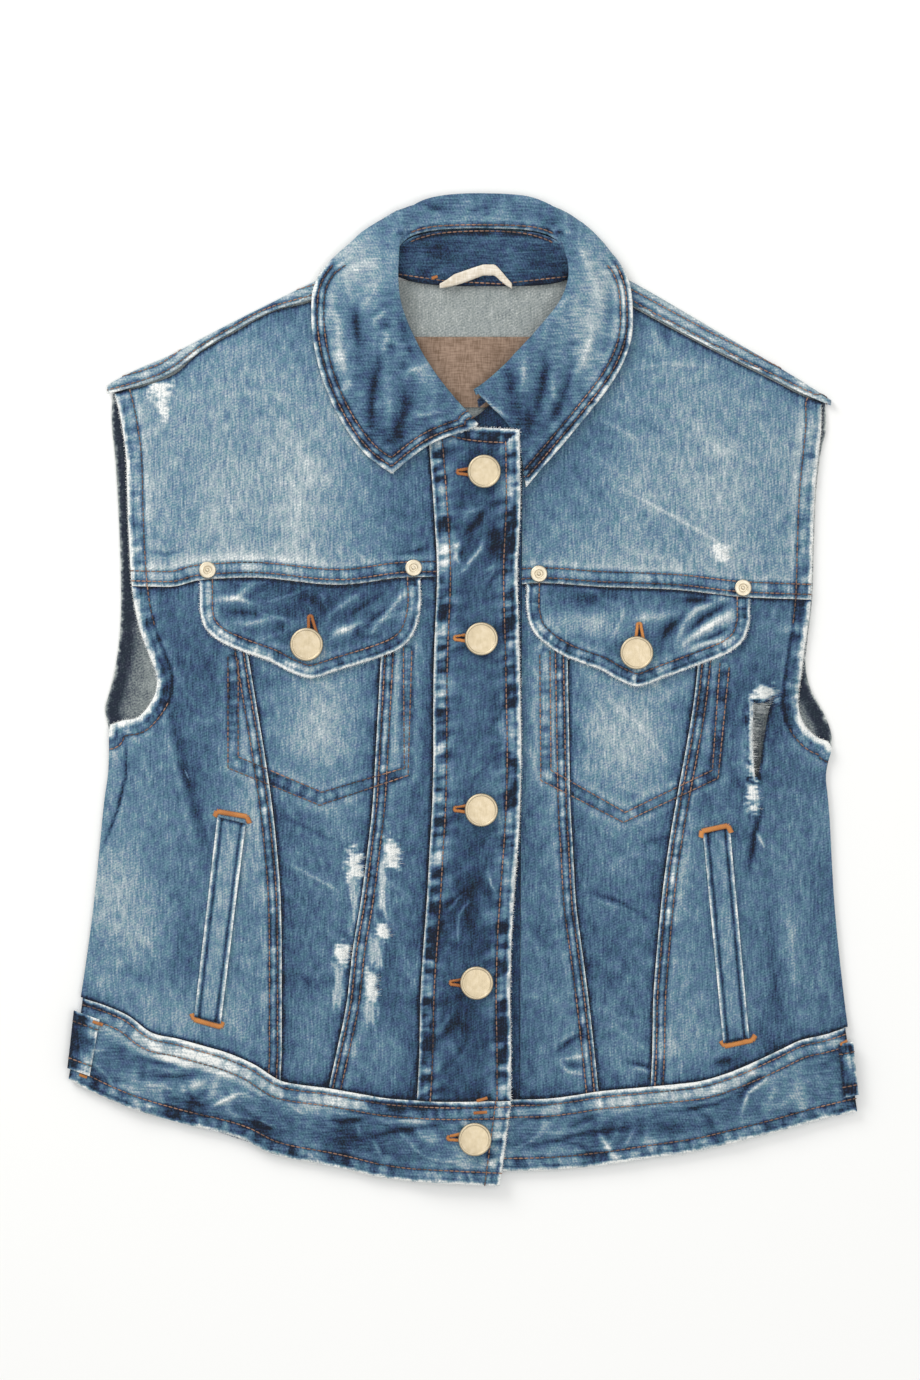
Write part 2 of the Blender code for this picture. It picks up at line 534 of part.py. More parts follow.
def bands(collection):
    for row, waist, top, under in ((LAP_BAND, left_waist, lap_top, lap_under),
                                   (UNDER_BAND, right_waist, under_top, front_under)):
        panel(row.name, row.west, row.east, waist, top, row.columns, row.rows, under, DOUBLED, row.finish,
              collection)
    band_left, band_right = moved(front_left, BAND_END_INSET), moved(front_right, -BAND_END_INSET)
    panel("waistband_left", band_left, lap_end, left_hem, left_waist,
          matched_columns(LEFT_FRONT + [LAP_BAND], left_waist, left_chest, band_left, lap_end), shares(4),
          lap_under, DOUBLED, "washed denim", collection)
    panel("waistband_right", under_edge, band_right, right_hem, right_waist,
          matched_columns([UNDER_BAND] + RIGHT_FRONT, right_waist, right_chest, under_edge, band_right),
          shares(4), front_under, DOUBLED, "washed denim", collection)


def flaps(collection):
    for name, rows, chest in (("flap_left", LEFT_FLAP, left_chest), ("flap_right", RIGHT_FLAP, right_chest)):
        west, east = rows[0].x, rows[-1].x
        bends = [(row.x - west) / (east - west) for row in rows[1:-1]]
        panel(name, lambda y, x=west: x, lambda y, x=east: x, column(rows, "y"), chest, shares(12, bends),
              shares(4), on_front, DOUBLED, "washed denim", collection)


def strips(collection):
    """Welts on the fronts and tabs on the waistband: slanted strips between two long edges."""
    welts = [("welt_left", LEFT_WELT, on_front, 9), ("welt_right", RIGHT_WELT, on_front, 9),
             ("hem_tab_left", LEFT_TAB, on_band, 3), ("hem_tab_right", RIGHT_TAB, on_band, 3)]
    for name, rows, under, count in welts:
        low, high = rows
        slant = STRIP_SLANT[name]

        def end(row):
            middle = 0.5 * (row.left + row.right)
            return lambda x: row.y + slant * (x - middle)

        panel(name, column(rows, "left", "y"), column(rows, "right", "y"), end(low), end(high), shares(2),
              shares(count), under, DENIM, "washed denim", collection)


def shoulders(collection):
    """The back's allowance at each shoulder: from the front's seam out to the fold and down to the ground."""
    sides = [("shoulder_left", left_top, left_fold, LEFT_FOLD[0].x + 1, NECK_LEFT_X),
             ("shoulder_right", right_top, right_fold, NECK_RIGHT_X, RIGHT_FOLD[-1].x - 1.5)]
    for name, seam, fold, low, high in sides:
        def place(u, v, seam=seam, fold=fold, low=low, high=high):
            x = low + u * (high - low)
            inner, outer = seam(x) + SHOULDER_GAP, fold(x) - DENIM / 2
            top = front_under(x, inner) + DENIM / 2
            turn = math.radians(90) * max(0.0, v - 0.5) * 2
            drop = min(top - SHOULDER_FOOT, 0.5 * (outer - inner))
            flat = outer - drop
            y = inner + 2 * v * (flat - inner) if v <= 0.5 else flat + drop * math.sin(turn)
            z = top if v <= 0.5 else top - (top - SHOULDER_FOOT) * (1 - math.cos(turn))
            return x, y, z

        bm = grid(place, shares(round((high - low) / CELL)), shares(6))
        strip = add_mesh(name, bm, "faded denim", collection)
        wall = strip.modifiers.new("wall", "SOLIDIFY")
        wall.thickness = DENIM * MM
        wall.offset = 0.0


def flat_outline(name, points, base, thickness, finish, collection):
    curve = bpy.data.curves.new(name, "CURVE")
    curve.dimensions = "2D"
    curve.fill_mode = "BOTH"
    curve.extrude = 0.5 * thickness * MM
    spline = curve.splines.new("POLY")
    spline.points.add(len(points) - 1)
    for point, (x, y) in zip(spline.points, points):
        point.co = (x * MM, y * MM, 0, 1)
    spline.use_cyclic_u = True
    obj = add_object(name, curve, finish, collection)
    obj.location.z = (base + 0.5 * thickness) * MM
    return obj


def back(collection):
    inset = 2 * DENIM
    west, east = BACK_WAIST_ENDS
    rim = [(x, back_waist(x) + GAP / 2) for x in steps(west, east, BACK_CELL)]
    rim += [(row.x, row.y) for row in BACK_RIGHT_EDGE[1:-1]]
    rim += [(x, right_fold(x) - inset) for x in reversed(steps(*BACK_RIGHT_SHOULDER, BACK_CELL))]
    rim += [(row.x, row.y) for row in reversed(BACK_NECK)]
    rim += [(x, left_fold(x) - inset) for x in reversed(steps(*BACK_LEFT_SHOULDER, BACK_CELL))]
    rim += [(row.x, row.y) for row in reversed(BACK_LEFT_EDGE[2:-1])]
    flat_outline("back_panel", rim, 0.0, DENIM, "denim wrong side", collection)
    rim = [(x, back_hem(x)) for x in steps(*BACK_HEM_ENDS, BACK_CELL)]
    rim += [(x, back_waist(x) - GAP / 2) for x in reversed(steps(west, east, BACK_CELL))]
    flat_outline("waistband_back", rim, 0.0, DOUBLED, "washed denim", collection)


def spline(points, t):
    """Smooth curve through points, at t counted in points."""
    k = min(int(t), len(points) - 2)
    s = t - k
    before, start, end, after = (points[min(max(k + j, 0), len(points) - 1)] for j in (-1, 0, 1, 2))
    place = []
    for a, b, c, d in zip(before, start, end, after):
        place.append(b + 0.5 * s * (c - a + s * (2 * a - 5 * b + 4 * c - d + s * (3 * (b - c) + d - a))))
    return place


def collar_section(row):
    """Points of one collar section: foot, stand seam, roll, middle of the leaf, free edge."""
    backward = smooth((row.foot_y - NECK_BACK_FROM) / NECK_BACK_RAMP)
    on_neck = front_under(row.foot_x, row.foot_y) + DENIM + GAP
    foot_z = on_neck + backward * (DENIM + GAP + DOUBLED / 2 - on_neck)
    foot = (row.foot_x, row.foot_y, foot_z)
    roll = (row.roll_x, row.roll_y, row.roll_z)
    seam = [a + STAND_SHARE * (b - a) for a, b in zip(foot, roll)]
    seam[2] += STAND_HUMP * backward
    dx, dy = row.edge_x - row.roll_x, row.edge_y - row.roll_y
    reach = math.hypot(dx, dy)
    middle_x = row.roll_x + 0.5 * dx + row.bow * dy / reach
    middle_y = row.roll_y + 0.5 * dy - row.bow * dx / reach
    return [foot, seam, roll, (middle_x, middle_y, row.mid_z), (row.edge_x, row.edge_y, row.edge_z)]


def collar(collection):
    tables = [line([(k, getattr(row, name)) for k, row in enumerate(COLLAR)]) for name in CollarRow._fields]

    def section(u):
        return collar_section(CollarRow(*(table(u * (len(COLLAR) - 1)) for table in tables)))

    def seam_gap(points, k):
        return STAND_GAP / math.dist(points[k], points[k + 1])

    def stand_place(u, v):
        points = section(u)
        return spline(points, v * (1 - seam_gap(points, 0)))

    def leaf_place(u, v):
        points = section(u)
        start = 1 + seam_gap(points, 1)
        x, y, z = spline(points, start + v * (len(points) - 1 - start))
        share = smooth((v - LEAF_LIES_FROM) / LEAF_LIES_RAMP)
        share *= 1 - smooth((y - NECK_BACK_FROM) / NECK_BACK_RAMP)
        return x, y, z + share * max(0.0, leaf_floor(x, y) - z)

    around = shares(COLLAR_SECTIONS)
    pieces = [("collar_stand", stand_place, shares(4)), ("collar_leaf", leaf_place, LEAF_ROWS)]
    for name, place, rows in pieces:
        piece = add_mesh(name, grid(place, around, rows), "washed denim", collection)
        wall = piece.modifiers.new("wall", "SOLIDIFY")
        wall.thickness = DOUBLED * MM
        wall.offset = 0.0


def neck_trim(collection):
    corners = [(LABEL["west"], LABEL["south"]), (LABEL["east"], LABEL["south"]),
               (LABEL["east"], LABEL["north"]), (LABEL["west"], LABEL["north"])]
    flat_outline("neck_label", corners, DENIM + GAP, TAPE, "brown label cloth", collection)

    def place(u, v):
        x = HANGER["west"] + u * (HANGER["east"] - HANGER["west"])
        y = HANGER["foot_y"] + HANGER["rise"] * math.sin(math.pi * u) + v * HANGER["width"]
        return x, y, HANGER["foot_z"] + HANGER["slope"] * (y - HANGER["foot_y"])

    bm = grid(place, shares(10), shares(1))
    raise_wall(bm, TAPE)
    add_mesh("hanger_loop", bm, "cotton tape", collection)


def turned(name, profile, sides, finish, collection):
    bm = bmesh.new()
    verts = [bm.verts.new((row.radius * MM, 0, row.height * MM)) for row in profile]
    for upper, lower in zip(verts, verts[1:]):
        bm.edges.new((upper, lower))
    obj = add_mesh(name, bm, finish, collection, scale=1.0)
    screw = obj.modifiers.new("turn", "SCREW")
    screw.steps = sides
    screw.render_steps = sides
    screw.use_merge_vertices = True
    screw.merge_threshold = 0.00001
    return obj


def seat(x, y, radius, surface):
    """Height that clears a surface everywhere under a round foot."""
    ring = [(x + radius * math.cos(a), y + radius * math.sin(a)) for a in (k * math.pi / 4 for k in range(8))]
    return max(surface(*place) for place in ring + [(x, y)]) + GAP


def metalwork(collection):
    for row in BUTTONS:
        under = on_front if row.name.startswith("flap") else lap_under
        button = turned(row.name, BUTTON_PROFILE, BUTTON_SIDES, "pale brass", collection)
        top = seat(row.x, row.y, BUTTON_PROFILE[-2].radius, lambda x, y: under(x, y) + DOUBLED)
        button.location = (row.x * MM, row.y * MM, top * MM)
    for row in RIVETS:
        rivet = turned(row.name, RIVET_PROFILE, RIVET_SIDES, "pale brass", collection)
        top = seat(row.x, row.y, RIVET_RADIUS, lambda x, y: front_under(x, y) + DENIM)
        rivet.location = (row.x * MM, row.y * MM, top * MM)


def main():
    for obj in list(bpy.data.objects):
        bpy.data.objects.remove(obj, do_unlink=True)
    gilet = bpy.data.collections.new("gilet")
    bpy.context.scene.collection.children.link(gilet)
    for make in (back, shoulders, fronts, bands, flaps, strips, collar, neck_trim, metalwork):
        make(gilet)
    origin = bpy.data.objects.new("gilet_middle", None)
    origin.location = (-BOX_MIDDLE_X * MM, -BOX_MIDDLE_Y * MM, 0)
    for piece in [obj for obj in bpy.data.objects if obj is not origin]:
        piece.parent = origin
    gilet.objects.link(origin)


main()
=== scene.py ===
# %% [markdown]
# # A sleeveless denim jacket, laid flat
# The imported solids give each cloth piece its place, outline and height. This lesson dresses them: fine
# cloth with puckered seams and creases, indigo that wears white on every ridge, sewing thread by thread,
# frayed edges and brass buttons. Every listed table is in millimetres from the middle of the picture,
# x to the right and y towards the collar. Left and right are the viewer's.

# %% The frame and its box
import math
from collections import defaultdict, namedtuple

import bmesh
import bpy
import numpy as np
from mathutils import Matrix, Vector, kdtree, noise
from mathutils.bvhtree import BVHTree
from mathutils.geometry import delaunay_2d_cdt, interpolate_bezier


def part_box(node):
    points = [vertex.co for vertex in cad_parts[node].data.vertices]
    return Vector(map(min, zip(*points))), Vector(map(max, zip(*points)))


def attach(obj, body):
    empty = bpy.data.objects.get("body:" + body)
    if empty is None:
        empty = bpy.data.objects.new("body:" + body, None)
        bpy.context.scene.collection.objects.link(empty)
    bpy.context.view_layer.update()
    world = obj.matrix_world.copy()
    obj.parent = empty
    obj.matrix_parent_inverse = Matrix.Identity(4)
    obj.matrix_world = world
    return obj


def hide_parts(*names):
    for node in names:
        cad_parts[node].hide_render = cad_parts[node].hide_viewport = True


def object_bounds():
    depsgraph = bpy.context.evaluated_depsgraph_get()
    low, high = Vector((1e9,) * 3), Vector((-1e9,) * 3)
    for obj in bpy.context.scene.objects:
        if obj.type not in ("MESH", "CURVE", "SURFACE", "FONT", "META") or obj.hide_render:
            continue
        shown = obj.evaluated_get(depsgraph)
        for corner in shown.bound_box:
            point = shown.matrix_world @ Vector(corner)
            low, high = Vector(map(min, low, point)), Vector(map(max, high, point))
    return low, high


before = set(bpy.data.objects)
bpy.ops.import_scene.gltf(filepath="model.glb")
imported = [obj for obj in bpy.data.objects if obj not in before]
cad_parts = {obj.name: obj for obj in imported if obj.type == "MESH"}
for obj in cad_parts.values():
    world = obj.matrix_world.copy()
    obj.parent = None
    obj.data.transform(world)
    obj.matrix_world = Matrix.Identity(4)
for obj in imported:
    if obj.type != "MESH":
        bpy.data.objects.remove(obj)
cad_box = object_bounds()
MM = 0.001
scene = bpy.context.scene
print("nodes:", len(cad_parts), "box:", [tuple(round(v, 4) for v in corner) for corner in cad_box])

# %% [markdown]
# ## Camera and light
# The jacket was photographed from straight above, so the camera looks down from far enough away that the
# collar doesn't swell. A long lens frames it as tightly as the picture does. One big soft lamp low at the
# upper left rakes the cloth, so that ridges and stitches show, another overhead evens the light out, and a
# pale sky fills the shadows. Colours are shown as they are, without a film curve, because the washed blues
# are matched.

# %% Camera and light
PICTURE_MIDDLE = Vector((-1.58, -0.45, 0.0)) * MM
PICTURE_HEIGHT = 0.7452
CAMERA_HEIGHT = 2.5
SENSOR = 36.0
SKY_STRENGTH = 0.62


def placed(name, data):
    """A new object in the scene."""
    made = bpy.data.objects.new(name, data)
    scene.collection.objects.link(made)
    return made


camera = placed("camera", bpy.data.cameras.new("camera"))
camera.location = PICTURE_MIDDLE + Vector((0, 0, CAMERA_HEIGHT))
camera.data.lens = SENSOR * CAMERA_HEIGHT / PICTURE_HEIGHT
scene.camera = camera
scene.view_settings.view_transform = "Standard"

LampRow = namedtuple("LampRow", "name place size watts")
LAMPS = [
    LampRow("raking lamp", (-0.9, 1.15, 0.95), 0.9, 15.0),
    LampRow("overhead lamp", (0.5, -0.2, 2.2), 1.6, 17.0),
]
for row in LAMPS:
    lamp = placed(row.name, bpy.data.lights.new(row.name, "AREA"))
    lamp.data.energy, lamp.data.size = row.watts, row.size
    lamp.location = row.place
    lamp.rotation_euler = (-Vector(row.place)).to_track_quat("-Z", "Y").to_euler()
scene.world = bpy.data.worlds.new("pale sky")
scene.world.use_nodes = True
sky = scene.world.node_tree.nodes["Background"].inputs
sky["Color"].default_value = (1.0, 1.0, 1.0, 1.0)
sky["Strength"].default_value = SKY_STRENGTH
print("lens:", round(camera.data.lens, 1), "mm")

# %% [markdown]
# ## Helpers for colours and nodes
# Colours are written as the sRGB hex values that a picture shows, and shaders mix linear light, so one
# function turns one into the other. Another adds a node with its settings and links, in material and
# geometry trees alike.


# %% Colour and node helpers
def linear(colour):
    """An sRGB hex colour as linear red, green, blue and alpha."""
    parts = [int(colour[k:k + 2], 16) / 255 for k in (1, 3, 5)]
    return *(v / 12.92 if v <= 0.04045 else ((v + 0.055) / 1.055) ** 2.4 for v in parts), 1.0


def add(tree, kind, inputs=(), stops=(), **settings):
    """Adds a node. An input is a value or a socket; stops are a ramp's places and hex colours."""
    made = tree.nodes.new(kind)
    for name, value in settings.items():
        setattr(made, name, value)
    for key, value in dict(inputs).items():
        if isinstance(value, bpy.types.NodeSocket):
            tree.links.new(value, made.inputs[key])
        else:
            made.inputs[key].default_value = value
    for k, (place, colour) in enumerate(stops):
        spot = made.color_ramp.elements[k] if k < 2 else made.color_ramp.elements.new(place)
        spot.position, spot.color = place, linear(colour)
    return made


def new_material(name, **sockets):
    """A material with constants on its shader's sockets, and its tree and shader."""
    made = bpy.data.materials.new(name)
    made.use_nodes = True
    shader = made.node_tree.nodes["Principled BSDF"]
    for key, value in sockets.items():
        shader.inputs[key.replace("_", " ")].default_value = value
    return made, made.node_tree, shader


# %% [markdown]
# ## The floor
# The jacket lies on white card. The card is a little below the cloth, so that the two don't flicker where
# they would touch.

# %% The floor
FLOOR_SIZE, FLOOR_DROP = 8.0, 0.4 * MM
floor_finish, _, _ = new_material("matt white card", Base_Color=linear("#F4F4F2"), Roughness=0.9)
bpy.ops.mesh.primitive_plane_add(size=FLOOR_SIZE, location=(0, 0, -FLOOR_DROP))
floor = bpy.context.object
floor.name = "floor"
floor.data.materials.append(floor_finish)
print("floor:", FLOOR_SIZE, "m square")

# %% [markdown]
# ## Washed denim
# Denim is a twill of blue warp over white weft. Washing takes the dye off whatever stands proud, so one
# value, painted on the cloth below from its ridges, edges and fades, runs up a ramp from raw indigo to bare
# cotton. It holds wear and painted shade: it runs darker than the cloth's own tone in stitch grooves,
# beside tucked seams, in the troughs of folds and inside the armholes. The threads break that up: slubs are
# warp threads of uneven thickness that show as short streaks, the twill runs diagonally across them, and
# specks of weft show through. The real threads are 0.4 mm apart, too fine for the picture, so they are drawn
# about twice as coarse. The grain attribute holds places along the cloth in metres, so that threads follow a
# band or a collar round.

# %% Washed denim
WASH = [(0.0, "#101826"), (0.18, "#253C58"), (0.38, "#43617B"), (0.56, "#628296"), (0.72, "#95A6AD"),
        (0.87, "#BDC6C8"), (1.0, "#ECEDE9")]
SLUB_WIDTH, SLUB_LENGTH = 1.0 * MM, 9.0 * MM
TWILL_PITCH, TWILL_SLANT = 1.5 * MM, math.radians(63)
SPECK = 0.95 * MM
CLOUD = 5.0 * MM
DYE_SPOT, DYE_DRIFT = 3.5 * MM, 0.022
WAVE_PERIOD = math.tau / 20  # Blender's wave texture repeats after this distance


def denim(name, slubs, specks, ramp=WASH):
    """Denim whose slubs and specks shift the wear and painted shade by these shares."""
    made, tree, shader = new_material(name, Roughness=0.92, Sheen_Weight=0.12, Sheen_Roughness=0.6,
                                      Specular_IOR_Level=0.15)
    wear = add(tree, "ShaderNodeAttribute", attribute_name="wear").outputs["Fac"]
    grain = add(tree, "ShaderNodeAttribute", attribute_name="grain").outputs["Vector"]
    warp = add(tree, "ShaderNodeMapping", {"Vector": grain, "Scale": (1 / SLUB_WIDTH, 1 / SLUB_LENGTH, 1)})
    slub = add(tree, "ShaderNodeTexNoise", {"Vector": warp.outputs[0], "Scale": 1.0, "Detail": 3.0})
    speck = add(tree, "ShaderNodeTexNoise", {"Vector": grain, "Scale": 1 / SPECK, "Detail": 1.0})
    cloud = add(tree, "ShaderNodeTexNoise", {"Vector": grain, "Scale": 1 / CLOUD, "Detail": 4.0})
    turned = add(tree, "ShaderNodeMapping", {"Vector": grain, "Rotation": (0, 0, TWILL_SLANT),
                                             "Scale": (WAVE_PERIOD / TWILL_PITCH,) * 3})
    twill = add(tree, "ShaderNodeTexWave", {"Vector": turned.outputs[0], "Scale": 1.0, "Distortion": 1.5})
    for texture, share in ((slub, slubs), (speck, specks), (cloud, 0.20), (twill, 0.05)):
        centred = add(tree, "ShaderNodeMath", {0: texture.outputs["Fac"], 1: 0.5}, operation="SUBTRACT")
        wear = add(tree, "ShaderNodeMath", {0: centred.outputs[0], 1: share, 2: wear},
                   operation="MULTIPLY_ADD").outputs[0]
    tone = add(tree, "ShaderNodeValToRGB", {"Fac": wear}, ramp)
    vat = add(tree, "ShaderNodeTexNoise", {"Vector": grain, "Scale": 1 / DYE_SPOT, "Detail": 2.0, "W": 3.0},
              noise_dimensions="4D")
    hue = add(tree, "ShaderNodeMapRange", {"Value": vat.outputs["Fac"], "From Min": 0.3, "From Max": 0.7,
                                           "To Min": 0.5 - DYE_DRIFT, "To Max": 0.5 + DYE_DRIFT})
    dyed = add(tree, "ShaderNodeHueSaturation", {"Hue": hue.outputs[0], "Color": tone.outputs["Color"]})
    tree.links.new(dyed.outputs["Color"], shader.inputs["Base Color"])
    rib = add(tree, "ShaderNodeMath", {0: twill.outputs["Fac"], 1: slub.outputs["Fac"]}, operation="ADD")
    bump = add(tree, "ShaderNodeBump", {"Height": rib.outputs[0], "Strength": 0.35, "Distance": 0.25 * MM})
    tree.links.new(bump.outputs["Normal"], shader.inputs["Normal"])
    return made


# the wrong side's ramp; its dark end is the turned hem's own blue together with painted shade inside the
# armholes
WEFT_SIDE = [(0.0, "#1D2633"), (0.25, "#444D57"), (0.5, "#7F8787"), (0.7, "#9DA3A1"), (1.0, "#DFE1DD")]
DENIM = {"faded_denim": denim("faded denim", 0.62, 0.52), "washed_denim": denim("washed denim", 0.58, 0.50),
         "dark_denim": denim("dark denim", 0.48, 0.42),
         "denim_wrong_side": denim("denim wrong side", 0.34, 0.62, WEFT_SIDE)}
print("denims:", [made.name for made in DENIM.values()])

# %% [markdown]
# ## The other finishes
# The label is a tight brown weave and the hanger loop a pale cotton tape. Sewing thread is polyester with a
# slight shine, rust where it tops a seam and orange where it is packed into bar tacks and buttonholes.
# Buttons are pale brass, brushed and a little dull, and the rivets are rubbed paler in the wash. The threads
# of a label or a tape are under half a millimetre apart, too fine for the picture, so they are drawn coarser.

# %% Woven cloths, threads and brass
WeaveRow = namedtuple("WeaveRow", "name dark pale thread roughness")
WEAVES = {
    "label_cloth": WeaveRow("brown damask", "#745E4D", "#A18977", 0.8 * MM, 0.7),
    "cotton_tape": WeaveRow("cotton tape", "#CFC3AE", "#F0E9DC", 0.8 * MM, 0.9),
}
THREAD_DRIFT = 16 * MM
BRUSH_WIDTH, BRUSH_LENGTH = 0.35 * MM, 4 * MM
TARNISH = 3 * MM


def weave(row):
    """Plain cloth: two tones mixed by threads that run both ways, with a soft mottle."""
    made, tree, shader = new_material(row.name, Roughness=row.roughness, Sheen_Weight=0.1,
                                      Specular_IOR_Level=0.2)
    place = add(tree, "ShaderNodeTexCoord").outputs["Object"]
    mottle = add(tree, "ShaderNodeTexNoise", {"Vector": place, "Scale": 0.1 / row.thread, "Detail": 3.0})
    total = mottle.outputs["Fac"]
    for scale in ((1 / row.thread, 0.15 / row.thread, 1), (0.15 / row.thread, 1 / row.thread, 1)):
        run = add(tree, "ShaderNodeMapping", {"Vector": place, "Scale": scale})
        thread = add(tree, "ShaderNodeTexNoise", {"Vector": run.outputs[0], "Scale": 1.0, "Detail": 1.0})
        total = add(tree, "ShaderNodeMath", {0: thread.outputs["Fac"], 1: total}, operation="ADD").outputs[0]
    tone = add(tree, "ShaderNodeMapRange", {"Value": total, "From Min": 1.15, "From Max": 1.85})
    colour = add(tree, "ShaderNodeValToRGB", {"Fac": tone.outputs[0]}, [(0.0, row.dark), (1.0, row.pale)])
    tree.links.new(colour.outputs["Color"], shader.inputs["Base Color"])
    bump = add(tree, "ShaderNodeBump", {"Height": total, "Strength": 0.4, "Distance": 0.2 * MM})
    tree.links.new(bump.outputs["Normal"], shader.inputs["Normal"])
    return made


def spun(name, dark, pale, roughness, sheen):
    """Thread: its colour drifts between two tones, as wear leaves it."""
    made, tree, shader = new_material(name, Roughness=roughness, Sheen_Weight=sheen)
    place = add(tree, "ShaderNodeTexCoord").outputs["Object"]
    drift = add(tree, "ShaderNodeTexNoise", {"Vector": place, "Scale": 1 / THREAD_DRIFT, "Detail": 4.0})
    colour = add(tree, "ShaderNodeValToRGB", {"Fac": drift.outputs["Fac"]}, [(0.35, dark), (0.65, pale)])
    tree.links.new(colour.outputs["Color"], shader.inputs["Base Color"])
    return made


def brass(name, tones):
    """Pale brass: a brushed grain in the gloss and a faint tarnish in the colour."""
    made, tree, shader = new_material(name, Metallic=1.0)
    place = add(tree, "ShaderNodeTexCoord").outputs["Object"]
    brushed = add(tree, "ShaderNodeMapping", {
        "Vector": place, "Scale": (1 / BRUSH_WIDTH, 1 / BRUSH_LENGTH, 1 / MM)})
    grain = add(tree, "ShaderNodeTexNoise", {"Vector": brushed.outputs[0], "Scale": 1.0, "Detail": 2.0})
    tarnish = add(tree, "ShaderNodeTexNoise", {"Vector": place, "Scale": 1 / TARNISH, "Detail": 5.0})
    colour = add(tree, "ShaderNodeValToRGB", {"Fac": tarnish.outputs["Fac"]}, zip((0.3, 0.5, 0.7), tones))
    tree.links.new(colour.outputs["Color"], shader.inputs["Base Color"])
    gloss = add(tree, "ShaderNodeMapRange", {"Value": grain.outputs["Fac"], "To Min": 0.42, "To Max": 0.60})
    tree.links.new(gloss.outputs[0], shader.inputs["Roughness"])
    bump = add(tree, "ShaderNodeBump", {
        "Height": grain.outputs["Fac"], "Strength": 0.12, "Distance": 0.1 * MM})
    tree.links.new(bump.outputs["Normal"], shader.inputs["Normal"])
    return made


FINISH = {**DENIM, **{slot: weave(row) for slot, row in WEAVES.items()}}
FINISH["pale_brass"] = brass("pale brass", ("#C3B497", "#CCBDA0", "#D3C5AB"))
RUBBED_BRASS = brass("rubbed brass", ("#D0C4AC", "#DBD0B9", "#E5DBC7"))
# the rust thread's darkest tone is partly painted shade in the stitch holes
RUST = spun("rust topstitching thread", "#3B2A25", "#A47C64", 0.65, 0.2)
ORANGE = spun("orange buttonhole thread", "#A4622A", "#D08B45", 0.5, 0.2)
COTTON = spun("bare cotton weft", "#C9D0D2", "#F2F2EE", 0.9, 0.3)
print("finishes:", sorted(FINISH))

# %% [markdown]
# ## From a solid to a fine sheet
# Each solid is a wall with facets a dozen millimetres wide: right in place and height, too coarse for
# creases. Its upper rim gives the outline. That is drawn again as a smooth curve with sharp corners, filled
# with points a millimetre or so apart and triangulated; each point is dropped onto the solid for its
# height, and averaging with its neighbours rounds the facets off. A plain underside and a rim close the
# sheet into a thin shell.

# %% Outlines
UPWARD = 0.3
CORNER = math.radians(38)
LONG = 1.8  # a piece longer than this many widths has its corners sought at its ends
FAR = 100.0  # well above or below the jacket
FACET_REACH = 9.0  # heights are evened out this far, which rounds off the facets
Sheet = namedtuple("Sheet", "node points faces loops sides runs height")


def wall_of(node):
    """A merged copy of a node's wall, in millimetres."""
    wall = bmesh.new()
    wall.from_mesh(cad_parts[node].data)
    bmesh.ops.remove_doubles(wall, verts=wall.verts, dist=0.002 * MM)
    bmesh.ops.scale(wall, vec=(1 / MM,) * 3, verts=wall.verts)
    wall.normal_update()
    return wall


def upper_rims(wall):
    """Rims of a wall's upper face, the outer one first. It runs anticlockwise, and holes run clockwise."""
    upper = [face for face in wall.faces if face.normal.z > UPWARD]  # in the same order in every run
    members = set(upper)
    after = {}
    for face in upper:
        for corner in face.loops:
            if not any(other in members for other in corner.edge.link_faces if other is not face):
                after[corner.vert] = corner.link_loop_next.vert
    rims = []
    while after:
        rim = [next(iter(after))]
        while rim[-1] in after:
            rim.append(after.pop(rim[-1]))
        rims.append([vert.co.copy() for vert in rim[:-1]])
    return sorted(rims, key=len, reverse=True)


def drawn_again(rim, spacing):
    """Points along a rim: curved through its gentle bends, sharp at its corners."""
    count = len(rim)
    ahead = [rim[(k + 1) % count] - rim[k] for k in range(count)]
    sharp = [ahead[k - 1].angle(ahead[k]) > CORNER for k in range(count)]
    easy = [(ahead[k - 1].normalized() + ahead[k].normalized()).normalized() for k in range(count)]
    points = []
    for k in range(count):
        after = (k + 1) % count
        third = ahead[k] / 3
        leave = third if sharp[k] else easy[k] * third.length
        arrive = third if sharp[after] else easy[after] * third.length
        parts = max(1, round(ahead[k].length / spacing))
        points += interpolate_bezier(rim[k], rim[k] + leave, rim[after] - arrive, rim[after], parts + 1)[:-1]
    return np.array(points)


def named_sides(points):
    """A rim turned to start at its south-west corner, with the letter of the side that each point is on."""
    size = np.ptp(points[:, :2], axis=0)
    across, up = ((points - points.min(0))[:, :2] / size * np.where(size > LONG * size[::-1], 2, 1)).T
    corners = [np.argmin(across + up), np.argmax(across - up), np.argmax(across + up), np.argmin(across - up)]
    turned = [(corner - corners[0]) % len(points) for corner in corners]
    letters = np.repeat(list("SENW"), np.diff(turned + [len(points)]))
    return np.roll(points, -corners[0], axis=0), letters


# %% Filled sheets
def plumb(tree, x, y):
    """Height at which a line let down over a place meets a surface, or None."""
    hit = tree.ray_cast(Vector((x, y, FAR)), Vector((0, 0, -1)))[0]
    return hit.z if hit else None


def fallen(tree, places, known):
    """Known heights, then those of places let down onto a surface; one that misses takes the last."""
    heights = list(known)
    for x, y in places:
        z = plumb(tree, x, y)
        heights.append(heights[-1] if z is None else z)
    return np.array(heights)


def inside(x, y, loops):
    """Which places lie inside an outline and outside its holes."""
    found = np.zeros(len(x), bool)
    for loop in loops:
        for (x0, y0, _), (x1, y1, _) in zip(loop, np.roll(loop, -1, axis=0)):
            if y0 != y1:
                found ^= ((y0 > y) != (y1 > y)) & (x < x0 + (y - y0) * (x1 - x0) / (y1 - y0))
    return found


def nearest(places, marks):
    """Distance from each place to the nearest mark, and that mark's number."""
    tree = kdtree.KDTree(len(marks))
    for k, mark in enumerate(marks):
        tree.insert(mark, k)
    tree.balance()
    found = [tree.find(place) for place in places]
    return np.array([hit[2] for hit in found]), np.array([hit[1] for hit in found])


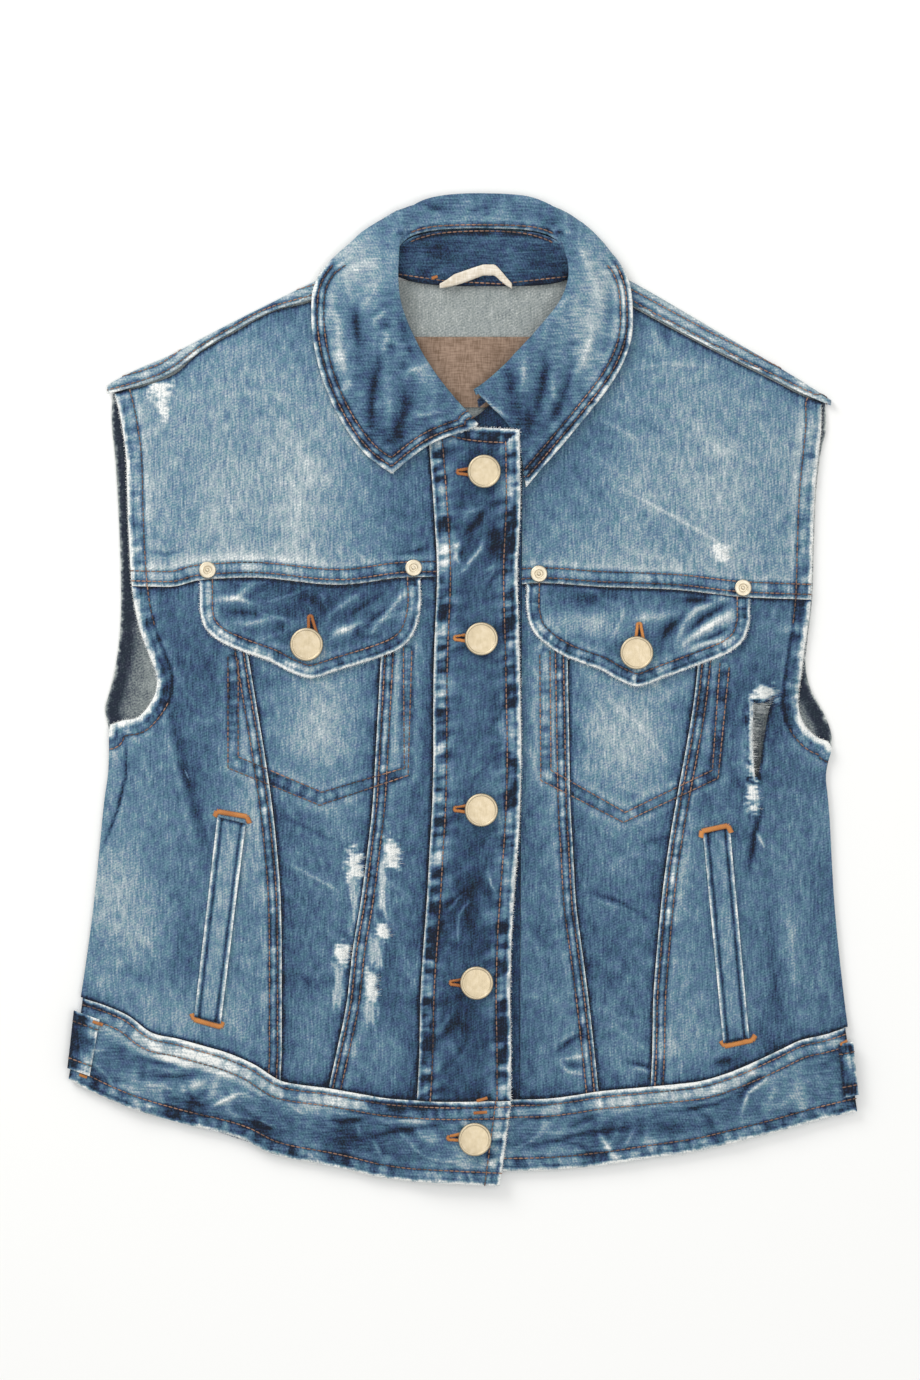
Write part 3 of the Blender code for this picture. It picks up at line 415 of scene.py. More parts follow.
def filled(loops, spacing):
    """Flat points and triangles that fill an outline; the outline's own points come first."""
    rim = np.vstack(loops)[:, :2]
    low, high = rim.min(0), rim.max(0)
    rows = np.arange(low[1], high[1], spacing * math.sqrt(0.75))
    columns = np.arange(low[0], high[0], spacing)
    grid = np.array([(x + spacing / 2 * (k % 2), y) for k, y in enumerate(rows) for x in columns])
    grid = grid[inside(*grid.T, loops)]
    away, _ = nearest(np.pad(grid, ((0, 0), (0, 1))), np.pad(rim, ((0, 0), (0, 1))))
    points = np.vstack([rim, grid[away > 0.6 * spacing]])
    edges, first = [], 0
    for loop in loops:
        edges += [(first + k, first + (k + 1) % len(loop)) for k in range(len(loop))]
        first += len(loop)
    kept, _, faces, *_ = delaunay_2d_cdt([Vector(p) for p in points], edges, [], 1, 1e-6)
    faces = np.array(faces)
    if len(loops) > 1:
        faces = faces[inside(*points[faces].mean(1).T, loops)]
    assert len(kept) == len(points)
    return points, faces


def averaged(values, faces, fixed, rounds):
    """Values evened out between neighbours, the first few kept fixed."""
    edges = np.vstack([faces[:, [0, 1]], faces[:, [1, 2]], faces[:, [2, 0]]])
    a, b = np.unique(np.sort(edges, axis=1), axis=0).T
    count = np.bincount(a, minlength=len(values)) + np.bincount(b, minlength=len(values))
    values = values.copy()
    for _ in range(rounds):
        total = np.bincount(a, values[b], len(values)) + np.bincount(b, values[a], len(values))
        values[fixed:] = (total / np.maximum(count, 1))[fixed:]
    return values


def sheet_of(node, spacing):
    """A fine sheet in millimetres on the upper face of a node."""
    wall = wall_of(node)
    tree = BVHTree.FromBMesh(wall)
    loops, sides = [], []
    for rim in upper_rims(wall):
        loop = drawn_again(rim, spacing)
        letters = np.where(np.roll(loop[:, 1], -1) > loop[:, 1], "L", "R")  # the two sides of a hole
        if not loops:
            loop, letters = named_sides(loop)
        loops.append(loop)
        sides.append(letters)
    flat, faces = filled(loops, spacing)
    rim = np.vstack(loops)
    heights = fallen(tree, flat[len(rim):], rim[:, 2])
    heights = averaged(heights, faces, len(rim), round((FACET_REACH / spacing) ** 2))
    runs = [np.cumsum(np.linalg.norm(loop - np.roll(loop, 1, axis=0), axis=1)) for loop in loops]
    middle = flat[len(rim) + len(flat) // 3]
    below = tree.ray_cast(Vector((*middle, -FAR)), Vector((0, 0, 1)))[0].z
    height = plumb(tree, *middle) - below
    wall.free()
    return Sheet(node, np.column_stack([flat, heights]), faces, loops, np.concatenate(sides),
                 np.concatenate(runs), height)


# %% [markdown]
# ## Edges: folded, tucked or worn
# A flat garment is read by its seams. Where one piece is folded over another, its edge stands up on the
# seam allowance, is rubbed white and ropes between its rows of stitching. The piece underneath is tucked
# in and low, with painted shade along the seam. Free edges are worn and frayed, and the armholes are bound
# by a thick white roll.
#
# This table says how the sides of each piece are finished. Sides are named by the compass, and L and R are
# the two sides of the rip. A folded or pressed edge lies over its neighbour and a tucked one goes under it.
# Worn, fringed, frayed, bound and hemmed edges are free and differ in how thick and white their line is,
# and how dark the painted shade just inside it; a welt is rolled, with painted shade in its groove, inside
# is the back's wrong side at an armhole, darkened by its turned hem and by painted shade, and a plain edge
# gets nothing. Then come the distances of the stitch rows from the edge, how much paler the strip beside
# them is, a lower limit in y that ends an armhole at the side seam, and how strongly the strip ropes. Sides
# that aren't named are tucked.

# %% Edges
Edge = namedtuple("Edge", "sides finish rows pale low rope", defaults=((), 0.0, -999.0, 1.0))
PRINCESS = ("folded", (2.2, 6.5), -0.03, -999.0, 0.65)
CHEST = Edge("S", "pressed", (2.8, 8.2), 0.02, rope=0.5)
WAIST = [Edge("N", "folded", (3.2, 9.4), 0.04, rope=0.4), Edge("S", "hemmed", (7.0,), 0.08, rope=0.6)]
WELT = [Edge("EW", "rolled")]
TAB = [Edge("E", "folded", (), 0.04, rope=0.4), Edge("SN", "folded", (5.5,), -0.08, rope=0.3)]
EDGES = {
    "back_panel": [Edge("W", "inside", (), 0.0, -26), Edge("E", "inside", (), 0.0, -34)],
    "front_yoke_left": [CHEST, Edge("W", "bound", (8.4,), 0.0, rope=0.55)],
    "front_yoke_right": [CHEST, Edge("E", "bound", (8.4,), 0.0, rope=0.55), Edge("W", "plain")],
    "front_side_left": [Edge("E", *PRINCESS), Edge("W", "frayed", (8.4,), 0.04, -24, 0.6)],
    "front_side_right": [Edge("W", *PRINCESS), Edge("E", "frayed", (8.4,), 0.02, -32, 0.6)],
    "front_center_left": [Edge("W", *PRINCESS)],
    "front_center_right": [Edge("E", *PRINCESS), Edge("W", "plain")],
    "front_mid_left": [],
    "front_mid_right": [],
    "placket_over": [Edge("W", "folded", (7.4,), 0.12, rope=1.4),
                     Edge("EN", "fringed", (7.4,), 0.08, rope=1.4)],
    "placket_under": [Edge("W", "plain"), Edge("E", "plain")],
    "waistband_left": WAIST + [Edge("E", "worn", (8.0,), 0.22)],
    "waistband_right": WAIST,
    "flap_left": [Edge("WSE", "worn", (6.6,), 0.16, rope=0.6)],
    "flap_right": [Edge("WSE", "worn", (6.6,), 0.10, rope=0.7)],
    "welt_left": WELT,
    "welt_right": WELT,
    "hem_tab_left": TAB,
    "hem_tab_right": TAB,
}
print("pieces with named edges:", len(EDGES))

# %% [markdown]
# ## Creases and fades
# The larger folds are in the solids. These are the smaller creases that the picture shows, each along a
# path of two or more points: a soft ridge where height is positive and a trough where it is negative, with
# a tone: the wash has rubbed a ridge paler, and a trough is darker, partly from dye the wash has left and
# partly from painted shade. Fades are soft ellipses of rubbed or unrubbed dye, and a few dark ones are
# painted shade: inside the armhole, behind the rip and in the slits of the buttonholes. Patches are where
# the dye is rubbed through to the bare weft.

# %% Creases
CREASES = {  # width, height and tone (a dark tone is partly painted shade), then the points of the path
    "collar_leaf": [  # valleys that run to the points, darkened partly by painted shade, and rubbed wrinkles between them
        (3.4, -0.9, -0.34, (-56.5, 212), (-56, 197.5), (-54.5, 182)),
        (3.6, 0.5, 0.34, (-69, 210), (-66, 199.5), (-65, 183.5), (-59, 160)),
        (1.8, 0.7, 0.26, (-46, 195), (-45.5, 199.5), (-39, 204)),
        (1.8, 0.5, 0.2, (-42, 192), (-39, 190), (-43, 179.5)),
        (2.8, -1.0, -0.34, (-42.5, 182), (-47.5, 157), (-48, 136.5)),
        (1.8, 0.7, 0.28, (-29.5, 166.5), (-27, 172), (-18.5, 173)),
        (3.6, -0.5, -0.2, (-31.5, 199.5), (-28.5, 185.5)),
        (2.6, -0.6, -0.2, (-31.5, 172), (-29.5, 177)),
        (2.4, 0.5, 0.18, (-38, 166.5), (-37.5, 151.5), (-40, 141)),
        (3.6, -0.7, -0.24, (-33.5, 167.5), (-29, 153.5), (-35, 136)),
        (1.2, 0.5, 0.24, (-24, 147), (-16.5, 148.5), (-8, 150.5)),
        (1.3, 0.5, 0.2, (-46.5, 152.5), (-41, 155)),
        (1.2, 0.4, 0.2, (-56, 159), (-50.5, 159)),
        (3.6, 0.6, 0.12, (63.5, 242), (70, 226), (75.5, 210), (76.5, 199.5)),
        (3.0, -0.5, -0.16, (81.5, 221), (81.5, 206), (79.5, 191)),
        (1.6, -0.6, -0.25, (59, 185.5), (64, 186.5)),
        (3.0, -1.0, -0.36, (44.5, 181), (46, 172), (41, 148)),
        (3.0, -1.0, -0.36, (61, 174), (57, 161), (47.5, 142)),
        (2.2, 0.6, 0.18, (49.5, 173), (50.5, 159), (45.5, 148.5)),
        (2.2, 0.6, 0.24, (34.5, 180.5), (34, 166.5), (32.5, 158)),
        (3.4, -0.7, -0.26, (26, 174), (28, 156)),
        (3.4, -0.6, -0.16, (-25.5, 171), (-25, 156)),
        (3.0, 0.4, 0.22, (74, 200), (66.5, 178), (57, 160), (46, 144)),
        (2.6, -0.5, -0.22, (-39, 186), (-34.5, 183)),
        (2.0, -0.4, -0.2, (-27.5, 186), (-26.5, 180)),
        (4.0, -0.5, -0.2, (36, 150), (37.5, 134)),
        (1.2, 0.5, 0.24, (10, 160), (18.5, 151.5), (29.5, 144)),
        (1.4, -0.4, -0.16, (-18, 260), (-6, 258)),
        (1.4, -0.4, -0.16, (4, 258), (18, 260)),
    ],
    "front_side_left": [  # the large fold from the armhole with its far flank in painted shade, and the side seam in front of it, a line of painted shade
        (2.6, 0.5, 0.14, (-163, 0), (-156, -30), (-149, -60), (-140, -94)),
        (5.0, -1.0, -0.22, (-158, -2), (-151, -32), (-143, -62), (-133, -98)),
        (0.9, -0.6, -0.5, (-180, -28), (-180, -45), (-185, -66), (-194, -88)),
        (2.0, 0.5, 0.12, (-172, -32), (-166, -52)),
        (1.6, 0.4, 0.1, (-186, -30), (-188, -46)),
        (4.0, -0.6, -0.12, (-185, -150), (-160, -158)),
        (5.0, 0.5, 0.1, (-200, -120), (-150, -145)),
    ],
    "front_side_right": [  # the crease under the rip, and soft drags towards the hem
        (1.8, -0.9, -0.4, (163, -60), (158, -82), (155, -100)),
        (1.4, 0.6, 0.45, (159, -76), (165, -86)),
        (2.6, 0.4, 0.14, (176, -110), (182, -170)),
        (4.0, -0.4, -0.1, (164, -104), (172, -176)),
        (4.0, -0.4, -0.12, (186, 20), (176, -30)),
        (2.2, 0.2, 0.30, (183, 20), (178.5, 3), (179, -12.5), (186.5, -24), (197, -29)),
        (2.4, -0.6, -0.34, (136, -201), (148, -198.5)),
    ],
    "front_yoke_right": [  # drag lines across the chest
        (1.5, 0.4, 0.2, (84, 110), (118, 92), (144, 77)),
        (4.0, 0.3, 0.08, (60, 134), (92, 112)),
        (2.0, 0.4, 0.14, (104, 197), (106, 190), (108, 182)),
        (2.2, -0.4, -0.12, (110, 196), (113, 184)),
        (1.7, 0.35, 0.11, (90, 172), (111, 176), (138, 174)),
        (1.6, 0.35, 0.13, (72, 148), (97, 134)),
        (2.0, -0.3, -0.1, (94, 147), (114, 136)),
        (5.0, 0.3, 0.06, (58, 118), (78, 86)),
        (5.0, 0.3, 0.06, (120, 150), (150, 118)),
    ],
    "front_yoke_left": [
        (6.0, 0.3, 0.06, (-100, 150), (-64, 96)),
        (5.0, -0.3, -0.07, (-66, 132), (-34, 100)),
        (1.4, 0.4, 0.16, (-58, 76), (-47, 66)),
        (1.0, 0.3, 0.16, (-66, 77), (-63, 68)),
        (1.6, -0.5, -0.26, (-37, 73), (-26, 74), (-17, 77)),
        (7.0, 0.3, 0.07, (-84, 120), (-90, 70)),
        (1.5, -0.5, -0.22, (-168, 74.5), (-158, 73), (-148, 76)),
    ],
    "flap_left": [  # whiskers that run to the upper corners
        (3.0, 0.0, 0.34, (-135.5, 35.5), (-128, 28), (-111, 19.5), (-93.5, 12.5), (-82.5, 9)),
        (2.2, 0.5, 0.30, (-130, 49.5), (-120, 50), (-111, 58)),
        (2.0, 0.6, 0.34, (-129, 48), (-119, 49), (-108, 45)),
        (2.4, 0.6, 0.32, (-125, 36.5), (-114, 35.5), (-103, 38), (-95, 38)),
        (2.2, -0.6, -0.22, (-128, 42.5), (-107, 41)),
        (1.2, 0.4, 0.2, (-75, 52.5), (-73, 48)),
        (2.2, 0.6, 0.30, (-73, 38), (-67, 43), (-58, 49.5), (-52, 52.5)),
        (2.6, -0.7, -0.28, (-60, 40), (-50, 46), (-39, 54)),
        (2.4, 0.7, 0.38, (-71, 26.5), (-65, 31.5), (-58, 34), (-51, 38)),
        (1.8, -0.6, -0.24, (-52, 32), (-46, 39), (-36, 46)),
        (2.2, 0.7, 0.38, (-44, 35), (-39, 41.5), (-31, 51), (-27, 52.5)),
        (1.6, 0.5, 0.24, (-48, 29), (-44, 36.5)),
    ],
    "flap_right": [
        (2.3, 0.5, 0.40, (133, 52), (148, 49)),
        (2.8, 0.8, 0.41, (144, 50), (127, 43), (121, 36.5), (116, 24)),
        (3.2, 0.8, 0.43, (149, 43), (139, 38), (125, 28.5), (116, 21)),
        (2.3, 0.6, 0.38, (152, 29), (142, 26.5), (131, 25), (121, 20)),
        (2.0, -0.8, -0.30, (145, 47), (131, 38.5), (120, 28)),
        (3.0, -0.8, -0.26, (122, 40), (112, 33), (107, 24)),
        (1.6, -0.7, -0.32, (148, 35.5), (137, 29), (125, 25)),
        (2.2, -0.6, -0.28, (118, 48.5), (138, 48)),
        (3.2, 0.5, 0.24, (92, 38), (107, 39.5), (121, 42)),
    ],
    "placket_over": [  # two fans of whiskers, under the first button and above the fourth
        (1.5, 0.7, 0.48, (0.4, 65.3), (4.9, 68.4), (11.1, 75.9), (13, 82.2)),
        (1.4, 0.5, 0.42, (-4.5, 80), (-0.8, 76), (-2, 71), (1, 66)),
        (3.0, -0.6, -0.20, (18, 90), (20, 80), (17, 72)),
        (1.2, 0.4, 0.26, (19, 66), (17, 62), (14, 58)),
        (1.1, 0.5, 0.36, (0, 63.5), (5, 66)),
        (1.2, 0.5, 0.24, (12, 63), (18, 66.5), (19, 72.5)),
        (1.5, 0.5, 0.20, (1, 88), (4, 95.5), (14, 98.5)),
        (1.0, 0.4, 0.30, (-2, 76.5), (0, 80)),
        (2.4, -0.9, -0.26, (1, 82), (8, 89), (14.5, 98.5)),
        (1.6, -0.6, -0.22, (-2, 78), (1, 71)),
        (1.0, 0.6, 0.36, (-6, -119), (-1, -112), (5, -107.5)),
        (0.9, 0.6, 0.32, (-1, -122.5), (2, -117), (6, -113)),
        (0.9, 0.5, 0.28, (-1, -136), (-1, -126.5), (0, -120)),
        (0.9, 0.4, 0.22, (2, -92), (3, -105)),
        (1.0, 0.6, 0.44, (15, -98), (17, -105), (19, -109)),
        (1.8, -0.8, -0.24, (-8, -116.5), (1, -110), (9, -105)),
        (1.8, -0.6, -0.20, (-8, -121), (-11, -133)),
    ],
    "front_mid_left": [  # soft drags of the lower fronts
        (2.0, -0.5, -0.14, (-98, -67), (-63, -84)),
        (1.3, 0.5, 0.2, (-95, -92), (-62, -110)),
        (4.0, -0.4, -0.08, (-92, -150), (-72, -164)),
    ],
    "front_center_left": [
        (2.0, 0.4, 0.12, (-44, -100), (-26, -112)),
        (1.6, 0.4, 0.12, (-34, -146), (-22, -160)),
    ],
    "front_mid_right": [
        (1.6, -0.6, -0.2, (67, -108), (86, -114), (105, -125)),
        (1.6, 0.5, 0.14, (70, -112), (90, -119)),
        (1.4, 0.25, 0.11, (78, -3), (97, -19), (112, -39)),
        (1.2, 0.4, 0.16, (72, -4), (77, -13)),
        (2.0, -0.5, -0.14, (96, -84), (116, -78)),
        (1.6, -0.8, -0.34, (89, -200), (104, -203.5)),
        (1.4, 0.5, 0.26, (94, -203), (104, -206.5)),
    ],
    "front_center_right": [
        (1.8, -0.8, -0.34, (52, -195.5), (58, -190), (66, -185.5)),
        (1.6, 0.5, 0.20, (53, -190), (63, -183.5)),
        (1.3, 0.6, 0.32, (53, -199.5), (64, -197.5), (70, -196)),
        (1.3, 0.5, 0.28, (54, -201.5), (58, -205.5), (67, -207)),
        (2.0, -0.5, -0.22, (58, -202), (69, -202.5)),
    ],
    "waistband_left": [  # the strip that is rubbed pale between its rows, then the folds under it
        (7.5, 0.0, 0.37, (-188, -181), (-172, -187), (-156, -193), (-125, -200.5), (-94, -216.5)),
        (2.4, 0.0, -0.42, (-209, -211), (-191, -220), (-166, -230), (-146, -235)),
        (5.4, 0.0, 0.34, (-88, -217.5), (-61, -221), (-44, -222.5)),
        (4.0, 0.0, -0.20, (-44, -224), (-8, -221)),
        (3.0, 0.6, 0.30, (-152, -217), (-136, -210)),
        (1.4, 0.7, 0.40, (-136, -225.5), (-119, -217)),
        (2.2, -0.6, -0.30, (-172, -207.5), (-155, -208.5), (-136, -207)),
        (1.6, -0.5, -0.28, (-173, -198), (-150, -204)),
        (3.6, 0.4, 0.18, (-184, -211), (-152, -214)),
        (2.6, -0.7, -0.28, (-122, -230), (-99, -237)),
        (1.0, 0.5, 0.30, (-108, -231.5), (-98, -236)),
        (1.8, -0.6, -0.30, (-112, -219), (-104, -222), (-94, -222.5)),
        (1.2, 0.5, 0.26, (-94, -222), (-83, -229)),
        (1.6, -0.7, -0.30, (-73, -231), (-62, -232.5), (-47, -230.5)),
        (2.0, -0.8, -0.34, (-53, -242.5), (-39, -238.5), (-20, -235.5), (-6, -233)),
        (1.0, 0.4, 0.26, (-55, -233.5), (-54, -240.5)),
        (1.2, 0.5, 0.26, (-47, -242), (-42, -252)),
        (1.6, 0.5, 0.26, (-37, -232), (-20, -231.5), (-4, -229.5)),
    ],
    "hem_tab_left": [  # the fold round the side seam
        (2.0, 0.4, 0.30, (-196.5, -176), (-202.5, -212)),
    ],
    "hem_tab_right": [
        (2.2, 0.4, 0.40, (208, -188), (212, -214)),
    ],
    "waistband_right": [
        (5.6, 0.0, 0.40, (36, -227), (51, -225.5), (75, -221.6), (118, -217), (148, -210), (166, -202)),
        (4.8, 0.0, 0.26, (168, -199.5), (177, -195), (207, -188.5), (216, -186)),
        (4.0, 0.0, -0.20, (29, -222), (46, -220.5)),
        (1.5, -0.6, -0.30, (29, -232.5), (41, -231), (57, -230.5)),
        (2.0, -0.8, -0.32, (47, -244), (64, -239.5), (92, -235.5)),
        (2.2, 0.7, 0.44, (74, -237), (80, -247), (86, -254)),
        (1.4, 0.5, 0.30, (94, -236.5), (89, -245.5)),
        (3.4, -1.0, -0.50, (166, -206.5), (157, -211), (149, -220)),
        (1.5, 0.8, 0.46, (167, -205), (164, -210.5), (155, -217), (151, -230)),
        (1.5, -0.6, -0.34, (105, -227.5), (119, -226.5), (138, -223), (150, -217)),
    ],
}
print("creases:", sum(len(rows) for rows in CREASES.values()))

# %% Fades and bare patches
FADES = {  # x, y, reach across, reach up and amount; the narrowest ones are the buttonholes' slits, painted dark as shade
    "back_panel": [
        # painted shade: behind the rip, and inside the left armhole
        (160, -26, 9, 26, -0.28), (-176, 12, 12, 40, -0.10),
    ],
    "front_yoke_left": [
        (-105, 108, 60, 46, 0.08), (-62, 192, 40, 34, -0.14), (-28, 96, 20, 46, -0.30),
        (-122, 70, 42, 7, 0.14),
    ],
    "front_yoke_right": [
        (132, 112, 50, 40, 0.08), (60, 128, 26, 40, -0.18), (80, 200, 30, 30, -0.12),
        (188, 130, 12, 60, 0.05), (90, 70, 50, 8, 0.08),
    ],
    "front_mid_left": [
        (-76, -18, 26, 32, 0.24), (-82, -150, 22, 60, -0.04), (-82, -190, 20, 22, 0.07),
    ],
    "front_mid_right": [
        (90, -24, 30, 40, 0.30), (88, -160, 22, 50, -0.06), (88, -188, 18, 26, 0.10),
    ],
    "front_side_left": [
        (-186, -112, 24, 56, 0.24), (-142, 18, 26, 40, -0.14), (-116, -100, 16, 60, 0.14),
        (-146, -182, 42, 18, 0.20),
    ],
    "front_side_right": [
        (150, -20, 30, 44, -0.14), (182, -120, 20, 60, 0.06), (118, -120, 12, 70, 0.08),
        (125, -190, 22, 22, 0.13),
    ],
    "front_center_left": [
        (-30, 0, 12, 50, 0.12), (-40, -110, 14, 40, 0.04), (-40, -197, 16, 22, 0.12),
        (-38, -165, 10, 40, -0.09),
    ],
    "front_center_right": [
        (46, -10, 12, 60, 0.16), (54, -150, 14, 50, 0.04),
    ],
    "placket_over": [
        (-7, 68, 5.5, 11, 0.46), (-8.5, 88, 5, 9, -0.18), (-10, 104, 3.5, 6, 0.22),
        (26, 103, 3.5, 8, 0.24), (26, 77, 4, 16, -0.18), (26, 46, 3.5, 5, 0.20), (18, 82, 5, 7, -0.14),
        (14, -119, 4.5, 8, 0.22), (5, -123, 4.5, 7, -0.14), (6, -104, 9, 10, -0.10),
        (6, -20, 16, 60, 0.12), (6, -185, 18, 50, -0.08), (3, 54, 5, 9, -0.12), (-8, 70, 4, 12, 0.20),
        (-9, 89, 4, 8, -0.14), (8, -119, 18, 24, -0.07), (5, 117.4, 4.5, 1.4, -0.5),
        (3.4, 28, 4.5, 1.4, -0.5), (3.4, -64, 4.5, 1.4, -0.5), (1.2, -157.5, 4.5, 1.4, -0.5),
    ],
    "waistband_left": [
        (-143, -222, 8, 5, -0.26), (-150, -206, 44, 16, 0.12), (-61, -243, 7, 12, -0.24),
        (-46, -240, 40, 12, -0.13), (-79, -224, 6, 4, 0.24), (-92, -215.5, 4, 6, -0.22),
        (-0.4, -240.6, 4.5, 1.4, -0.5),
    ],
    "waistband_right": [
        (106, -235, 26, 5.5, -0.22), (53, -236, 16, 5, 0.14), (186, -212, 14, 10, 0.06),
        (168, -199, 4, 6, -0.30),
    ],
    "collar_leaf": [
        (-52, 230, 22, 22, 0.32), (76, 222, 18, 28, 0.26), (64, 194, 18, 18, 0.18),
        (32.5, 146, 9, 12, -0.20), (-34, 138, 22, 14, -0.12), (-40.5, 196, 3, 3, -0.16),
        (-79.5, 205, 3, 16, -0.22), (70, 176, 7, 9, 0.20), (-4, 258, 22, 8, 0.14), (48, 248, 9, 9, -0.18),
        (-14, 261, 10, 3, -0.16), (-18, 168, 5, 10, 0.17),
    ],
    "flap_left": [
        (-86, 47, 14, 8, -0.14), (-135, 50, 2.5, 6, 0.30), (-129, 31, 5, 4, 0.30), (-62, 32, 4, 3, 0.22),
        (-27, 52, 4, 5, 0.22), (-79.8, 33.8, 1.4, 4.5, -0.5),
    ],
    "flap_right": [
        (70, 36, 24, 8, 0.28), (69, 50, 17, 5, -0.14), (81, 22, 8, 5, -0.16), (69, 20, 4, 3, 0.30),
        (96.6, 29.8, 1.4, 4.5, -0.5),
    ],
    "hem_tab_left": [
        (-197.5, -181, 3, 5, 0.50), (-202, -205, 3, 7, 0.50),
    ],
    "shoulder_left": [
        (-186, 164, 9, 8, 0.25),
    ],
    "shoulder_right": [
        (194, 158, 9, 8, 0.25),
    ],
}
PATCHES = {
    "front_mid_left": [
        (-56.7, -95, 4.4, 9.5, 1.0), (-57.2, -113, 3, 11, 0.6), (-58.3, -128, 2.5, 10, 0.4),
        (-63.7, -142.5, 4.2, 6.2, 1.0), (-65.3, -160, 3.2, 13, 0.6),
    ],
    "front_center_left": [
        (-36.7, -88, 4.5, 8, 1.0), (-41.5, -109, 3, 15, 0.7), (-41.5, -130, 3.8, 4.8, 1.0),
        (-45, -142, 4, 9, 0.6), (-48, -159.5, 3.2, 10, 1.0), (-48.5, -174, 4, 7, 0.6),
    ],
    "front_yoke_left": [
        (-161.5, 162, 6, 6, 1.0), (-160.5, 152, 3.2, 8, 0.9),
    ],
    "front_yoke_right": [
        (140.4, 73, 4.4, 5, 1.0),
    ],
    "front_side_right": [
        (157.5, -56, 3.2, 9, 1.0), (156.8, -26, 1.5, 22, 0.8), (163.5, -1.5, 7, 4.5, 1.0),
    ],
}
POCKETS = [
    (((-125, 17), (-125, -42), (-75.6, -62), (-28, -46), (-26, 20)),
     ((-119.5, 15), (-119.5, -36), (-74.5, -55), (-30, -42), (-30.5, 22))),
    (((43, 18), (43.5, -48.6), (88, -71.3), (139, -47.5), (145, 12)),
     ((48.5, 20), (49, -43.2), (89, -65.9), (136, -43.2), (140, 14))),
]
print("fades:", sum(len(rows) for rows in FADES.values()))

# %% [markdown]
# ## Relief, wear and painted shade
# Relief and wear are worked out together for every point of a sheet, because on washed denim they belong
# together: what stands up is pale and what lies low stays blue, and in grooves, troughs and beside tucked
# seams the colour is painted darker still as shade. Noise drawn out along an edge makes the roping, ridged
# noise makes the crumple, and each row of stitching presses a groove that is painted in shade.

# %% Relief, wear and painted shade of edges
EDGE_ROUND = 0.7
# how white and how wide an edge's line is, and how dark the painted shade just inside it
EDGE_LINE = {"folded": (0.74, 1.1, 0.14), "pressed": (0.55, 0.8, 0.14), "worn": (0.84, 1.15, 0.24),
             "bound": (0.90, 1.5, 0.12), "frayed": (0.95, 2.4, 0.16), "fringed": (0.95, 1.5, 0.24),
             "hemmed": (0.85, 1.3, 0.12)}
ROPE_LENGTH = 4.2
RIDGE_BETWEEN = 4.5  # rows closer than this press up a ridge between them
MOTTLE = 26.0
CRUMPLE_SIZE = 13.0
BARE_FROM = 0.75  # above this share of bareness the weft lies loose


def field(x, y, across, up, seed):
    """Smooth noise from -1 to 1 with blots of this size."""
    return np.array([noise.noise((a, b, seed)) for a, b in zip(x / across, y / up)])


def bell(away, width):
    """One at no distance, falling off over a width."""
    return np.exp(-(away / width) ** 2)


def up_to(values, limit, soft):
    """One up to a limit and nothing beyond it, with a soft step between."""
    return 1 / (1 + np.exp((values - limit) / soft))


def roping(run, away, seed):
    """Slanting light and dark blocks along a seam, from -1 to 1."""
    slant = run + 0.2 * away
    return np.tanh(2.5 * field(slant, away, ROPE_LENGTH, 13.0, seed)
                   + 1.7 * field(slant, away, 2.7 * ROPE_LENGTH, 18.0, seed + 7))


def edge_marks(points, marks, runs, edge, seed):
    """Relief, wear with painted shade, and distance that one finished edge gives to points."""
    away, near = nearest(points, marks)
    run = runs[near]
    drift = field(run, away, 3.2, 30.0, seed + 3)
    if edge.finish == "plain":
        return np.zeros(len(points)), np.zeros(len(points)), away
    if edge.finish == "tucked":
        # a tucked edge lies in the shade of the edge folded over it: a dark line and a broad blotchy band of
        # painted shade
        seam_shade = 0.10 * bell(away, 7) * (1 + 1.2 * field(run, away, 11.0, 30.0, seed))
        return -0.55 * np.exp(-away / 1.1), -0.62 * bell(away, 1.1) - seam_shade, away
    if edge.finish == "inside":
        # the turned hem is dark from its own blue and from painted shade inside the armhole, and painted
        # shade falls off over a broad band
        patches = 0.3 * np.clip(2.6 * field(run, away, 12.0, 30.0, seed) - 0.3, 0, 1)
        turned = up_to(away, 6.5, 0.8)
        line = (1.0 + 0.7 * drift) * bell(away, 1.3)
        return np.zeros(len(points)), (patches - 0.66) * turned - 0.3 * bell(away, 16) + line, away
    if edge.finish == "rolled":
        tone_shift = 0.5 * (0.75 + 0.6 * drift + 0.9 * field(run, away, 18.0, 30.0, seed)) * bell(away - 0.3, 0.9)
        # painted shade in the groove beside the rolled welt
        groove = 0.5 * bell(away - 2.6, 0.8)
        return 0.2 * bell(away - 0.6, 0.9) - groove, tone_shift - groove, away
    band = edge.rows[-1] if edge.rows else 4.0
    rope = edge.rope * roping(run, away, seed) * (1 - bell(away, 1.4))
    ticks = field(run, away, 1.5, 9.0, seed + 13)
    held = up_to(away - band, 0.5, 0.5)
    beyond = (1 - held) * bell(np.maximum(away - band, 0), 1.1 * band)
    relief = 0.32 * held - 0.6 * np.exp(-away / EDGE_ROUND) + 0.32 * rope * (0.8 * held + 0.5 * beyond)
    amount, width, shade = EDGE_LINE[edge.finish]
    # the edge's worn white line, then a line of painted shade just inside it
    wear = amount * (0.85 + 0.7 * drift) * bell(away, width) - shade * bell(away - 1.6 * width - 0.5, 0.7)
    wear += (0.20 * ticks * held + rope * (0.30 * held + 0.10 * beyond) + (edge.pale - 0.05) * held
             + 0.10 * bell(away - band - 2.4, 2.2))
    if len(edge.rows) > 1 and edge.rows[1] - edge.rows[0] < RIDGE_BETWEEN:
        ridge = bell(away - sum(edge.rows) / 2, 0.9)
        relief, wear = relief + 0.18 * ridge, wear + 0.24 * ridge
    # each row presses a groove, and painted shade darkens it
    for row in edge.rows:
        relief = relief - 0.3 * bell(away - row, 0.9)
        wear = wear - 0.32 * bell(away - row, 0.9)
    return relief, wear, away


